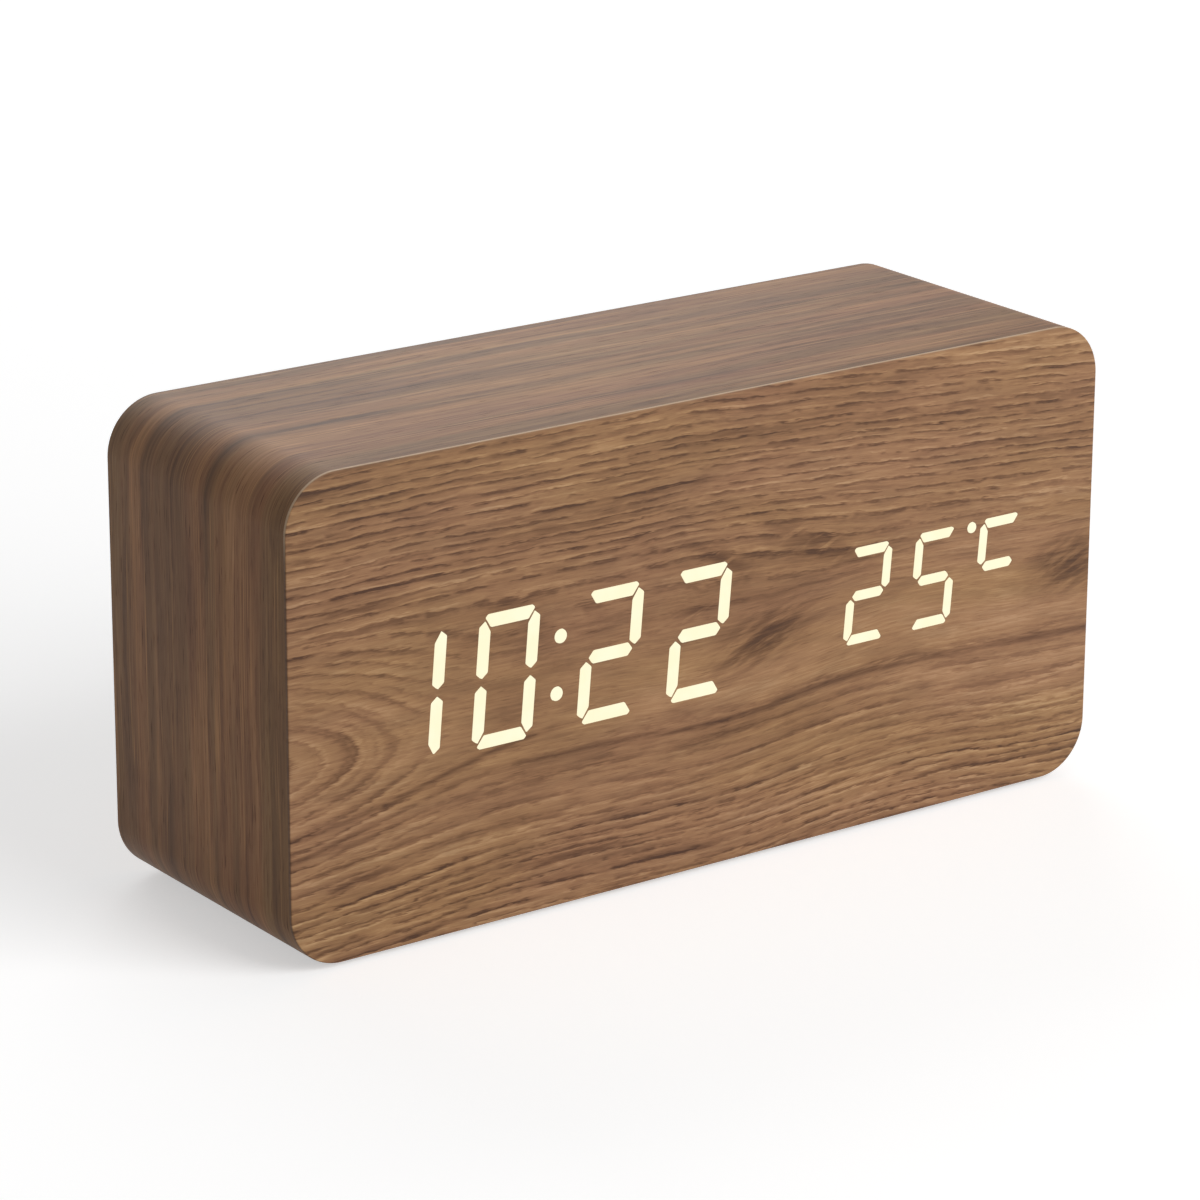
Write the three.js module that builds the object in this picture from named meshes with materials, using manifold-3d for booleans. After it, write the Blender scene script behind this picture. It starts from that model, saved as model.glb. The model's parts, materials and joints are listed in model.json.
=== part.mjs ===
// A wood-grain LED alarm clock that also shows the room's temperature, in millimetres, +Z up.
// The front faces -Y, and the origin lies on the table under the middle of the clock.
// Every piece is built in the case frame, whose origin is the middle of the case,
// and the whole clock is lifted onto its feet at the end.
import * as THREE from "three";
import { mergeVertices } from "three/addons/utils/BufferGeometryUtils.js";
import Module from "manifold-3d";

const wasm = await Module();
wasm.setup();

// Case: a hollow fibreboard core, wrapped in printed wood-grain foil
const caseWidth = 150;
const caseDepth = 49;
const caseHeight = 74.2;
const cornerRadius = 8.6;
const foil = 0.5;
const glueLine = 0.1;
const sideWall = 6;
const frontWall = 4;
const cornerBlock = 9;
const blockLength = 20;
const rimWall = 3;

// Feet: thin rubber pads under the flat of the case
const footHeight = 0.8;
const footRadius = 5;
const footMargin = 4;

// Back panel, let into the rim
const panelThickness = 4;
const panelFit = 0.25;
const ventRadius = 0.9;
const ventPitch = 3.6;
const ventsAround = 6;
const ventPlaceShare = 0.42;

// Display: seven-segment digits, measured between the middle lines of their strokes,
// in places that are shares of the width of the display module
const displayGap = 3;
const displayRise = 0.7;
const slantShare = 0.083;
const timeDigitWidth = 8.72;
const timeDigitHeight = 18.42;
const timeStroke = 2;
const timePlaceShares = [-0.4122, -0.2869, -0.1433, -0.0181];
const colonPlaceShare = -0.2151;
const colonRise = 4.4;
const colonRadius = 1.08;
const temperatureDigitWidth = 6.68;
const temperatureDigitHeight = 13.9;
const temperatureStroke = 1.53;
const temperaturePlaceShares = [0.229, 0.3278, 0.4266];
const degreePlaceShare = 0.615;
const degreeRadius = 0.87;
const degreeDrop = 0.1;
const timeText = "1022";
const temperatureText = "25C";

// The ends of a segment, as shares of its stroke
const barShoulderShare = 0.2;
const barTipShare = 0.28;
const barFootShare = 0.53;
const postTopShare = -0.02;
const postShoulderShare = 0.38;
const postFootShare = 0.82;
const postWaistShare = 0.7;
const postTipShare = 0.27;
const middleTipShare = 0.2;
const middleShoulderShare = 0.6;

// Display module: diffusers, mask and circuit board behind the front wall
const windowMargin = 2;
const windowRadius = 1;
const windowFit = 0.2;
const segmentFit = 0.06;
const diffuserSheet = 0.5;
const maskDepth = 5;
const maskBorder = 4.2;
const displayScrewInset = 6;
const boardThickness = 1.6;
const ledLong = 1.6;
const ledShort = 0.8;
const ledHeight = 0.7;

// Parts soldered to the display board
const chipLength = 13;
const chipWidth = 7.5;
const chipHeight = 2.2;
const chipLegs = 7;
const chipStandoff = 0.1;
const legWidth = 0.5;
const legReach = 1.2;
const crystalLength = 10.2;
const crystalWidth = 3.8;
const crystalHeight = 3.4;
const crystalGap = 2;
const buzzerRadius = 6;
const buzzerHeight = 8.5;
const buzzerBevel = 1;
const buzzerHole = 1.3;
const capacitorRadius = 3.15;
const capacitorHeight = 7;
const capacitorCrimp = 0.5;
const thermistorRadius = 1.2;
const thermistorReach = 8;
const thermistorLegs = 2.5;
const wireRadius = 0.3;

// Plugs and their ribbon cable
const plugHeight = 5;
const plugDepth = 5;
const plugKeyDepth = 0.6;
const batteryPlugWidth = 8;
const ribbonPlugWidth = 12;
const ribbonWidth = 9;
const ribbonThickness = 0.9;
const ribbonSag = 6;
const plugGap = 0.1;

// Control module on the back: three buttons and a power socket in one black bezel
const buttonCount = 3;
const stationPitch = 14;
const bezelWidth = 66;
const bezelHeight = 18;
const bezelRadius = 4;
const bezelBodyRadius = 2;
const bezelFlange = 1;
const bezelShoulder = 2.5;
const bezelDepth = 5.6;
const bezelFit = 0.2;
const bezelRise = 6;
const buttonRadius = 3.5;
const buttonFit = 0.2;
const buttonProud = 1;
const buttonEdge = 0.4;
const buttonTravel = 0.6;
const buttonFlange = 1;
const buttonFlangeLip = 1.1;
const buttonStem = 0.9;
const buttonStemRadius = 2;
const buttonRest = 0.1;
const flangeGap = 0.2;
const switchSize = 6;
const switchHeight = 3.4;
const plungerRadius = 1.7;
const plungerProud = 1.3;
const plungerRoot = 1.5;
const plungerFit = 0.1;
const skirtWall = 1.2;
const boardRest = 0.1;
const postRadius = 2;
const wellWidth = 12.6;
const wellHeight = 7.6;
const wellRadius = 1;
const wellDepth = 4.5;
const socketWidth = 8.94;
const socketHeight = 3.26;
const socketWall = 0.3;
const socketFit = 0.15;
const socketBase = 1.5;
const tongueWidth = 6.7;
const tongueThickness = 0.7;
const tongueSetback = 0.8;

// Battery compartment for as many AAA cells as fit side by side, let into the underside
const boxMargin = 1.5;
const cellDiameter = 10.5;
const cellLength = 44.5;
const cellGap = 0.8;
const cellClearance = 0.3;
const cellEdge = 0.5;
const nubRadius = 1.9;
const nubLength = 0.8;
const springSpace = 2.8;
const springWire = 0.5;
const springTurns = 3;
const springFoot = 3.3;
const springTip = 2;
const contactThickness = 0.4;
const contactGap = 0.1;
const contactWidth = 8;
const contactHeight = 8;
const contactBump = 0.5;
const solderTab = 1.6;
const tabWidth = 2.4;
const boxWall = 1.2;
const boxFit = 0.25;
const ribThickness = 0.5;
const ribDepth = 3;
const flangeThickness = 1.4;
const flangeSide = 2;
const flangeEnd = 5.6;
const flangeRadius = 2;

// Battery door: two hooks at one end and a tongue with a captive screw at the other
const doorLedge = 0.8;
const doorFit = 0.2;
const doorGap = 0.1;
const doorRadius = 1;
const hookWidth = 6;
const hookReach = 0.65;
const hookRoot = 2;
const hookThickness = 0.9;
const hookSlotHeight = 2.6;
const hookInset = 3.85;
const bossLength = 6.4;
const bossWidth = 8;
const bossHeight = 5;
const tongueHalf = 4.5;
const tongueRadius = 3;
const doorScrewBite = 3.2;
const doorScrewFit = 0.3;
const notchRadius = 3.5;
const notchDepth = 0.9;

// Leads from the battery box to their plug
const leadRadius = 0.65;
const leadSides = 8;
const leadSteps = 14;
const leadBendShare = 0.7;
const leadCrossShare = 0.2;

// Screws
const panelScrewLength = 12;
const panelScrewRadius = 1.3;
const panelHeadRadius = 2.8;
const smallScrewRadius = 1;
const smallHeadRadius = 2.1;
const smallHeadHeight = 1.4;
const displayScrewBite = 3;
const boardScrewLength = 6;
const boxScrewBite = 4.5;
const screwFit = 0.15;
const screwTip = 1;

// Facets of round forms, and how far a cutting solid runs past what it cuts
const cornerSteps = 4;
const smallCornerSteps = 2;
const roundSteps = 18;
const screwSteps = 10;
const springSteps = 8;
const springSides = 5;
const ribbonSteps = 14;
const overrun = 1;

// Levels through the clock, from front to back
const front = -caseDepth / 2;
const back = caseDepth / 2;
const coreFront = front + foil + glueLine;
const coreBack = back - foil - glueLine;
const foilBack = front + foil;
const wallBack = coreFront + frontWall;
const sheetBack = foilBack + diffuserSheet;
const maskBack = wallBack + maskDepth;
const boardBack = maskBack + boardThickness;
const plugBack = boardBack + plugDepth;
const panelSeat = coreBack - panelThickness;
const blockFront = panelSeat - blockLength;
const bezelInner = back - bezelDepth;
const wellFloor = back - wellDepth;
const buttonSeat = bezelInner - flangeGap;
const stemEnd = buttonSeat - buttonFlange - buttonStem;
const plungerEnd = stemEnd - buttonRest;
const switchTop = plungerEnd - plungerProud;
const buttonBoardBack = switchTop - switchHeight;
const buttonBoardFront = buttonBoardBack - boardThickness;

// Sizes that follow
const coreWidth = caseWidth - 2 * (foil + glueLine);
const coreHeight = caseHeight - 2 * (foil + glueLine);
const coreRadius = cornerRadius - foil - glueLine;
const pocketWidth = coreWidth - 2 * sideWall;
const pocketHeight = coreHeight - 2 * sideWall;
const rimWidth = coreWidth - 2 * rimWall;
const rimHeight = coreHeight - 2 * rimWall;
const rimRadius = coreRadius - rimWall;
const ventX = THREE.MathUtils.lerp(bezelWidth / 2, rimWidth / 2, ventPlaceShare);
const displayWidth = pocketWidth - 2 * displayGap;
const boxHeadRadius = smallScrewRadius + flangeThickness - 2 * screwFit;

// Places of the digits: the middle of each one, along X
const colonX = colonPlaceShare * displayWidth;
const timePlaces = timePlaceShares.map((share) => share * displayWidth);
const temperaturePlaces = temperaturePlaceShares.map((share) => share * displayWidth);
const digitReach = (temperatureDigitWidth + temperatureStroke) / 2;
const degreeX = THREE.MathUtils.lerp(
  temperaturePlaces[1] + digitReach,
  temperaturePlaces[2] - digitReach,
  degreePlaceShare,
);

// The two groups of the display
const timeGroup = {
  text: timeText,
  places: timePlaces,
  width: timeDigitWidth,
  height: timeDigitHeight,
  stroke: timeStroke,
  dots: [
    [colonX, colonRise, colonRadius],
    [colonX, -colonRise, colonRadius],
  ],
};
const temperatureGroup = {
  text: temperatureText,
  places: temperaturePlaces,
  width: temperatureDigitWidth,
  height: temperatureDigitHeight,
  stroke: temperatureStroke,
  dots: [[degreeX, temperatureDigitHeight / 2 - degreeDrop, degreeRadius]],
};
const LIT = { 0: "abcdef", 1: "bc", 2: "abged", 5: "afgcd", C: "afg" };
const ALL = "abcdefg";

// The window behind a group: its slanted digits with a margin all round
function windowOf({ places, width, height, stroke }) {
  const reach = (width + stroke + slantShare * (height + stroke)) / 2 + windowMargin;
  return {
    left: places[0] - reach,
    right: places[places.length - 1] + reach,
    half: (height + stroke) / 2 + windowMargin,
  };
}
const timeWindow = windowOf(timeGroup);
const temperatureWindow = windowOf(temperatureGroup);
const maskHalf = Math.max(timeWindow.half, temperatureWindow.half) + maskBorder;

// Battery compartment, from the middle of the case
const cellPitch = cellDiameter + cellGap;
const cellRoom = panelSeat - wallBack - 2 * (boxMargin + boxWall + cellClearance);
const cellCount = Math.floor((cellRoom + cellGap) / cellPitch);
const bayLength = cellLength + springSpace + contactBump + 2 * (contactThickness + 2 * contactGap);
const bayWidth = cellCount * cellDiameter + (cellCount - 1) * cellGap + 2 * cellClearance;
const underside = -caseHeight / 2;
const ledge = underside + flangeThickness;
const bayCeiling = ledge + cellDiameter + 2 * cellClearance;
const boxTop = bayCeiling + boxWall;
const boxHalfLength = bayLength / 2 + boxWall;
const boxHalfWidth = bayWidth / 2 + boxWall;
const bossEnd = boxHalfLength + bossLength;
const doorTop = ledge - doorGap;
const doorHingeX = -bayLength / 2 - doorLedge + doorFit;
const doorScrewX = boxHalfLength + bossLength / 2;
const cellZ = ledge + cellClearance + cellDiameter / 2;
const tabZ = cellZ + contactHeight / 2 - contactThickness;
const cellY = (i) => (i - (cellCount - 1) / 2) * cellPitch;
const lastCellY = cellY(cellCount - 1);
const hookFromMiddle = (bayWidth - hookWidth) / 2 - hookInset;

// The end of the bay that a cell's nub points to, as the cells lie head to tail
const cellEnd = (i) => (i % 2 === 0 ? 1 : -1);
const lastCellEnd = cellEnd(cellCount - 1);

// The finishes of the pieces: colour, roughness and metalness
const FINISHES = {
  fibreboard: [0xb08d63, 0.9, 0],
  woodFoil: [0x94704f, 0.55, 0],
  opal: [0xfffbd8, 0.4, 0],
  blackPlastic: [0x1d1d1e, 0.5, 0],
  whitePlastic: [0xe9e6dc, 0.5, 0],
  circuitBoard: [0x1f5a3a, 0.6, 0],
  chip: [0x202124, 0.6, 0],
  steel: [0xb9bbbd, 0.35, 0.9],
  nickel: [0xc8c4b8, 0.3, 0.95],
  blackScrew: [0x2a2a2b, 0.4, 0.8],
  capacitorSleeve: [0x24304f, 0.45, 0.1],
  cellJacket: [0x3f5f78, 0.4, 0.3],
  bead: [0x191715, 0.5, 0],
  redWire: [0xb3261e, 0.5, 0],
  blackWire: [0x1b1b1b, 0.5, 0],
  ribbon: [0x9d9fa3, 0.6, 0],
  rubber: [0x2b2b2b, 0.9, 0],
};

function finish(name) {
  const [color, roughness, metalness] = FINISHES[name];
  return new THREE.MeshStandardMaterial({ color, roughness, metalness });
}

// A closed geometry as a solid that can be joined and cut
function solid(geometry) {
  const bare = new THREE.BufferGeometry();
  bare.setAttribute("position", geometry.getAttribute("position"));
  bare.setIndex(geometry.index);
  const merged = mergeVertices(bare);
  return new wasm.Manifold(
    new wasm.Mesh({
      numProp: 3,
      vertProperties: new Float32Array(merged.getAttribute("position").array),
      triVerts: Uint32Array.from(merged.index.array),
    }),
  );
}

// A solid back as a geometry with flat faces
function geometryOf(shape) {
  const { vertProperties, triVerts } = shape.getMesh();
  const geometry = new THREE.BufferGeometry();
  geometry.setAttribute("position", new THREE.BufferAttribute(vertProperties, 3));
  geometry.setIndex(new THREE.BufferAttribute(triVerts, 1));
  const flat = geometry.toNonIndexed();
  flat.computeVertexNormals();
  return flat;
}

const joined = (solids) => solids.reduce((all, next) => all.add(next));
const without = (shape, cuts) => cuts.reduce((left, cut) => left.subtract(cut), shape);

// A box between two corners
function box(x0, x1, y0, y1, z0, z1) {
  const geometry = new THREE.BoxGeometry(x1 - x0, y1 - y0, z1 - z0);
  return solid(geometry.translate((x0 + x1) / 2, (y0 + y1) / 2, (z0 + z1) / 2));
}

// An outline in X and Z, extruded along Y between two levels
function slab(outline, y0, y1, curveSegments = smallCornerSteps) {
  const settings = { depth: y1 - y0, bevelEnabled: false, curveSegments };
  return solid(new THREE.ExtrudeGeometry(outline, settings).rotateX(Math.PI / 2).translate(0, y1, 0));
}

// An outline in X and Y, extruded along Z between two levels
function tile(outline, z0, z1) {
  const settings = { depth: z1 - z0, bevelEnabled: false, curveSegments: smallCornerSteps };
  return solid(new THREE.ExtrudeGeometry(outline, settings).translate(0, 0, z0));
}

// A rectangle with round corners, between four sides
function roundedBetween(left, right, bottom, top, radius) {
  const shape = new THREE.Shape();
  shape.absarc(right - radius, top - radius, radius, 0, Math.PI / 2);
  shape.absarc(left + radius, top - radius, radius, Math.PI / 2, Math.PI);
  shape.absarc(left + radius, bottom + radius, radius, Math.PI, 1.5 * Math.PI);
  shape.absarc(right - radius, bottom + radius, radius, 1.5 * Math.PI, 2 * Math.PI);
  shape.closePath();
  return shape;
}

const rounded = (width, height, radius) =>
  roundedBetween(-width / 2, width / 2, -height / 2, height / 2, radius);

// A round bar or bore along Y
function barY(x, z, radius, y0, y1, steps = screwSteps) {
  const geometry = new THREE.CylinderGeometry(radius, radius, y1 - y0, steps);
  return solid(geometry.translate(x, (y0 + y1) / 2, z));
}

// A round bar or bore along Z, which may taper
function barZ(x, y, radius, z0, z1, steps = screwSteps, topRadius = radius) {
  const geometry = new THREE.CylinderGeometry(topRadius, radius, z1 - z0, steps);
  return solid(geometry.rotateX(Math.PI / 2).translate(x, y, (z0 + z1) / 2));
}

// A profile of [radius, height] points, rising, turned about Y
function turned(profile, steps = roundSteps) {
  const points = profile.map(([radius, height]) => new THREE.Vector2(radius, height));
  return solid(new THREE.LatheGeometry(points, steps));
}

// Adds a named piece to a group at a place
function add(parent, name, shape, finishName, x = 0, y = 0, z = 0) {
  const mesh = new THREE.Mesh(geometryOf(shape), finish(finishName));
  mesh.name = name;
  mesh.position.set(x, y, z);
  parent.add(mesh);
  return mesh;
}

// The outline of one segment of a digit, upright and about the middle of the digit
function segmentPoints(letter, { width, height, stroke }) {
  const [w, h, t] = [width / 2, height / 2, stroke];
  const bar = [
    [w - barShoulderShare * t, h + t / 2],
    [w, h + barTipShare * t],
    [w - barFootShare * t, h - t / 2],
    [barFootShare * t - w, h - t / 2],
    [-w, h + barTipShare * t],
    [barShoulderShare * t - w, h + t / 2],
  ];
  const post = [
    [w, h - postTopShare * t],
    [w + t / 2, h - postShoulderShare * t],
    [w + t / 2, postWaistShare * t],
    [w, postTipShare * t],
    [w - t / 2, postWaistShare * t],
    [w - t / 2, h - postFootShare * t],
  ];
  const middle = [
    [w - middleTipShare * t, 0],
    [w - middleShoulderShare * t, -t / 2],
    [middleShoulderShare * t - w, -t / 2],
    [middleTipShare * t - w, 0],
    [middleShoulderShare * t - w, t / 2],
    [w - middleShoulderShare * t, t / 2],
  ];
  const flip = (points, x, z) => points.map(([u, v]) => [x * u, z * v]);
  const outlines = {
    a: bar,
    b: post,
    c: flip(post, 1, -1),
    d: flip(bar, 1, -1),
    e: flip(post, -1, -1),
    f: flip(post, -1, 1),
    g: middle,
  };
  return outlines[letter];
}

// The segments and dots of a group, slanted and in place, each with its middle
function marksOf(group, onlyLit) {
  const dots = group.dots.map(([x, z, radius]) => ({ radius, middle: [x + slantShare * z, z] }));
  const segments = group.places.flatMap((x, i) =>
    [...(onlyLit ? LIT[group.text[i]] : ALL)].map((letter) => {
      const upright = segmentPoints(letter, group);
      const points = upright.map(([u, v]) => [x + u + slantShare * v, v]);
      const middle = [0, 1].map((k) => points.reduce((sum, p) => sum + p[k], 0) / points.length);
      return { points, middle, tall: !"adg".includes(letter) };
    }),
  );
  return [...segments, ...dots];
}

const everyMark = (onlyLit) => [...marksOf(timeGroup, onlyLit), ...marksOf(temperatureGroup, onlyLit)];

// A convex outline with each of its sides moved out by a distance
function grown(points, distance) {
  const ring = points.map(([x, z]) => new THREE.Vector2(x, z));
  if (THREE.ShapeUtils.isClockWise(ring)) ring.reverse();
  const sides = ring.map((from, i) => {
    const along = ring[(i + 1) % ring.length].clone().sub(from).normalize();
    const out = new THREE.Vector2(along.y, -along.x);
    return { along, from: from.clone().addScaledVector(out, distance) };
  });
  return sides.map((side, i) => {
    const last = sides[(i + sides.length - 1) % sides.length];
    const step = side.from.clone().sub(last.from).cross(side.along) / last.along.cross(side.along);
    return last.from.clone().addScaledVector(last.along, step);
  });
}

// A segment or dot as a solid between two levels
function markSolid(mark, y0, y1, growth = 0) {
  if (mark.radius) return barY(mark.middle[0], mark.middle[1], mark.radius + growth, y0, y1);
  return slab(new THREE.Shape(grown(mark.points, growth)), y0, y1);
}

const windowShape = ({ left, right, half }, fit = 0) =>
  roundedBetween(left + fit, right - fit, fit - half, half - fit, windowRadius);

// Screws stand along Y with the top of the head at the origin

function countersunkScrew(length, radius, headRadius) {
  const profile = [
    [0, -length],
    [radius, screwTip - length],
    [radius, radius - headRadius],
    [headRadius, 0],
    [0, 0],
  ];
  return turned(profile, screwSteps);
}

function panScrew(length) {
  const profile = [
    [0, -smallHeadHeight - length],
    [smallScrewRadius, screwTip - smallHeadHeight - length],
    [smallScrewRadius, -smallHeadHeight],
    [smallHeadRadius, -smallHeadHeight],
    [smallHeadRadius, -smallHeadHeight / 2],
    [smallHeadRadius / 2, 0],
    [0, 0],
  ];
  return turned(profile, screwSteps);
}

const screwHoleY = ([x, z], radius, y0, y1) => barY(x, z, radius + screwFit, y0, y1);
const screwHoleZ = ([x, y], radius, z0, z1) => barZ(x, y, radius + screwFit, z0, z1);

// Places of the screws
const corners = (x, z) => [
  [-x, z],
  [x, z],
  [-x, -z],
  [x, -z],
];
const panelScrews = corners((pocketWidth - cornerBlock) / 2, (pocketHeight - cornerBlock) / 2);
const displayScrews = corners(displayWidth / 2 - displayScrewInset, maskHalf - maskBorder / 2);
const boxScrewX = boxHalfLength + flangeEnd / 2;
const boxScrewY = boxHalfWidth - 2 * smallHeadRadius;
const boxScrews = [
  [-boxScrewX, -boxScrewY],
  [boxScrewX, boxScrewY],
];
const boardScrews = [-stationPitch, stationPitch];

// Case

function makeCore() {
  const [w, h, past] = [pocketWidth / 2, pocketHeight / 2, coreBack + overrun];
  const panelScrewEnd = coreBack - panelScrewLength - screwFit;
  const displayScrewEnd = wallBack - displayScrewBite - screwFit;
  const boxScrewEnd = ledge + boxScrewBite + screwFit;
  const displayCuts = [
    slab(windowShape(timeWindow), coreFront - overrun, wallBack + overrun),
    slab(windowShape(temperatureWindow), coreFront - overrun, wallBack + overrun),
    ...displayScrews.map((at) => screwHoleY(at, smallScrewRadius, displayScrewEnd, wallBack + overrun)),
  ];
  return without(slab(rounded(coreWidth, coreHeight, coreRadius), coreFront, coreBack, cornerSteps), [
    box(-w, w, wallBack, blockFront, -h, h),
    box(-w, w, wallBack, past, cornerBlock - h, h - cornerBlock),
    box(cornerBlock - w, w - cornerBlock, wallBack, past, -h, h),
    slab(rounded(rimWidth, rimHeight, rimRadius), panelSeat, past, cornerSteps),
    joined(displayCuts).translate(0, 0, displayRise),
    ...batteryOpening(),
    ...panelScrews.map((at) => screwHoleY(at, panelScrewRadius, panelScrewEnd, past)),
    ...boxScrews.map((at) => screwHoleZ(at, smallScrewRadius, underside, boxScrewEnd)),
  ]);
}

// What the battery box takes out of the bottom wall: its body, its boss and its flange
function batteryOpening() {
  const [length, width] = [boxHalfLength + boxFit, boxHalfWidth + boxFit];
  const boss = bossWidth / 2 + boxFit;
  return [
    box(-length, length, -width, width, underside, boxTop),
    box(0, bossEnd + boxFit, -boss, boss, underside, boxTop),
    tile(flangeOutline(boxFit), underside - overrun, ledge + glueLine),
  ];
}

// The flange of the battery box, with its edge moved out by a fit
const flangeOutline = (fit = 0) =>
  roundedBetween(
    -boxHalfLength - flangeEnd - fit,
    bossEnd + flangeEnd + fit,
    -boxHalfWidth - flangeSide - fit,
    boxHalfWidth + flangeSide + fit,
    flangeRadius,
  );

// A sheet round all four sides with a lip turned in over the rear rim
function makeWrapFoil() {
  const inner = rounded(caseWidth - 2 * foil, caseHeight - 2 * foil, cornerRadius - foil);
  return without(slab(rounded(caseWidth, caseHeight, cornerRadius), foilBack, back, cornerSteps), [
    slab(inner, foilBack - overrun, back - foil, cornerSteps),
    slab(rounded(rimWidth, rimHeight, rimRadius), foilBack, back + overrun, cornerSteps),
    tile(flangeOutline(boxFit), underside - overrun, underside + foil + overrun),
  ]);
}

function makeFrontFoil() {
  const sheet = slab(rounded(caseWidth, caseHeight, cornerRadius), front, foilBack, cornerSteps);
  const [y0, y1] = [front - overrun, foilBack + overrun];
  const openings = everyMark(true).map((mark) => markSolid(mark, y0, y1, segmentFit));
  return without(sheet, [joined(openings).translate(0, 0, displayRise)]);
}

const panelOutline = () =>
  rounded(rimWidth - 2 * panelFit, rimHeight - 2 * panelFit, rimRadius - panelFit);

function makeBackPanel() {
  return without(slab(panelOutline(), panelSeat, coreBack, cornerSteps), [
    ...bezelOpening(),
    ...ventHoles(),
    ...panelScrews.map(panelSink),
  ]);
}

function makeBackFoil() {
  const heads = panelScrews.map((at) => screwHoleY(at, panelHeadRadius, panelSeat, back + overrun));
  const sheet = slab(panelOutline(), back - foil, back, cornerSteps);
  return without(sheet, [...bezelOpening(), ...ventHoles(), ...heads]);
}

// A hole for a countersunk screw whose head lies flush with the fibreboard
function panelSink([x, z]) {
  const [shank, head] = [panelScrewRadius + screwFit, panelHeadRadius + screwFit];
  const profile = [
    [0, panelSeat - overrun],
    [shank, panelSeat - overrun],
    [shank, coreBack - head + shank],
    [head, coreBack],
    [head, coreBack + overrun],
    [0, coreBack + overrun],
  ];
  return turned(profile, screwSteps).translate(x, 0, z);
}

// The sound holes: one in the middle and a ring around it
function ventHoles() {
  const ring = Array.from({ length: ventsAround }, (_, i) => (2 * Math.PI * i) / ventsAround);
  const places = ring.map((turn) => [
    ventX + ventPitch * Math.cos(turn),
    bezelRise + ventPitch * Math.sin(turn),
  ]);
  const [y0, y1] = [panelSeat - overrun, back + overrun];
  return [[ventX, bezelRise], ...places].map(([x, z]) => barY(x, z, ventRadius, y0, y1));
}

// Display module

// An opal sheet whose lit segments stand out of it, up to the face of the foil
function makeDiffuser(group, opening) {
  const sheet = slab(windowShape(opening, windowFit), foilBack, sheetBack);
  const pads = marksOf(group, true).map((mark) => markSolid(mark, front, (foilBack + sheetBack) / 2));
  return joined([sheet, ...pads]);
}

const maskOutline = () => rounded(displayWidth, 2 * maskHalf, windowRadius);

// A light-tight block with a shaft for every segment, which fills the windows of the case
function makeMask() {
  const plugs = [timeWindow, temperatureWindow].map((opening) =>
    slab(windowShape(opening, windowFit), sheetBack, wallBack + overrun),
  );
  const shafts = everyMark(false).map((mark) => markSolid(mark, sheetBack - overrun, maskBack + overrun));
  const [y0, y1] = [wallBack - overrun, maskBack + overrun];
  return without(joined([slab(maskOutline(), wallBack, maskBack), ...plugs]), [
    joined(shafts),
    ...displayScrews.map((at) => screwHoleY(at, smallScrewRadius, y0, y1)),
  ]);
}

// A circuit board with a light-emitting diode standing in each shaft of the mask
function makeDisplayBoard() {
  const diodes = everyMark(false).map(({ middle: [x, z], tall, radius }) => {
    const w = (tall || radius ? ledShort : ledLong) / 2;
    const h = (tall ? ledLong : ledShort) / 2;
    return box(x - w, x + w, maskBack - ledHeight, maskBack + boardThickness / 2, z - h, z + h);
  });
  const [y0, y1] = [maskBack - overrun, boardBack + overrun];
  const holes = displayScrews.map((at) => screwHoleY(at, smallScrewRadius, y0, y1));
  return without(joined([slab(maskOutline(), maskBack, boardBack), ...diodes]), holes);
}

// A chip in a flat package, with a row of bent legs along both long sides
function makeChip() {
  const [w, l, reach] = [chipWidth / 2, chipLength / 2, chipWidth / 2 + legReach];
  const knee = boardBack + chipHeight / 2;
  const legs = Array.from({ length: chipLegs }, (_, i) => {
    const x = ((i - (chipLegs - 1) / 2) * chipLength) / chipLegs;
    const [left, right] = [x - legWidth / 2, x + legWidth / 2];
    return [
      box(left, right, knee - legWidth, knee, -reach, reach),
      box(left, right, boardBack, knee, reach - legWidth, reach),
      box(left, right, boardBack, knee, -reach, legWidth - reach),
    ];
  });
  return joined([box(-l, l, boardBack + chipStandoff, boardBack + chipHeight, -w, w), ...legs.flat()]);
}

function makeCrystal() {
  return slab(rounded(crystalLength, crystalWidth, crystalWidth / 2), boardBack, boardBack + crystalHeight);
}

function makeBuzzer() {
  const top = boardBack + buzzerHeight;
  const body = turned([
    [0, boardBack],
    [buzzerRadius, boardBack],
    [buzzerRadius, top - buzzerBevel],
    [buzzerRadius - buzzerBevel, top],
    [0, top],
  ]);
  return without(body, [barY(0, 0, buzzerHole, boardBack + buzzerHeight / 2, top + overrun)]);
}

function makeCapacitor() {
  const [r, top, crimp] = [capacitorRadius, boardBack + capacitorHeight, capacitorCrimp];
  const profile = [
    [0, boardBack],
    [r, boardBack],
    [r, boardBack + crimp],
    [r - crimp, boardBack + 2 * crimp],
    [r, boardBack + 3 * crimp],
    [r, top - crimp],
    [r - crimp, top],
    [0, top],
  ];
  return turned(profile, screwSteps);
}

function makeThermistor() {
  const [end, half] = [boardBack + thermistorReach, thermistorLegs / 2];
  const bead = new THREE.SphereGeometry(thermistorRadius, screwSteps, screwSteps / 2);
  const legs = [-half, half].map((x) => barY(x, 0, wireRadius, boardBack, end, leadSides));
  const outer = half + wireRadius;
  const bridge = box(-outer, outer, end - 2 * wireRadius, end, -wireRadius, wireRadius);
  return joined([solid(bead.translate(0, end, 0)), bridge, ...legs]);
}

// A plug in its header: a block with a keying groove along its top
function makePlug(width, y0, y1) {
  const [half, key] = [plugHeight / 2, width / 4];
  const groove = box(-key, key, y0 - overrun, y1 + overrun, half - plugKeyDepth, half + overrun);
  return without(box(-width / 2, width / 2, y0, y1, -half, half), [groove]);
}

// Control module: the stations lie in a row along X, with the socket at the last one

const stationX = (i) => (i - buttonCount / 2) * stationPitch;
const socketX = stationX(buttonCount);

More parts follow.
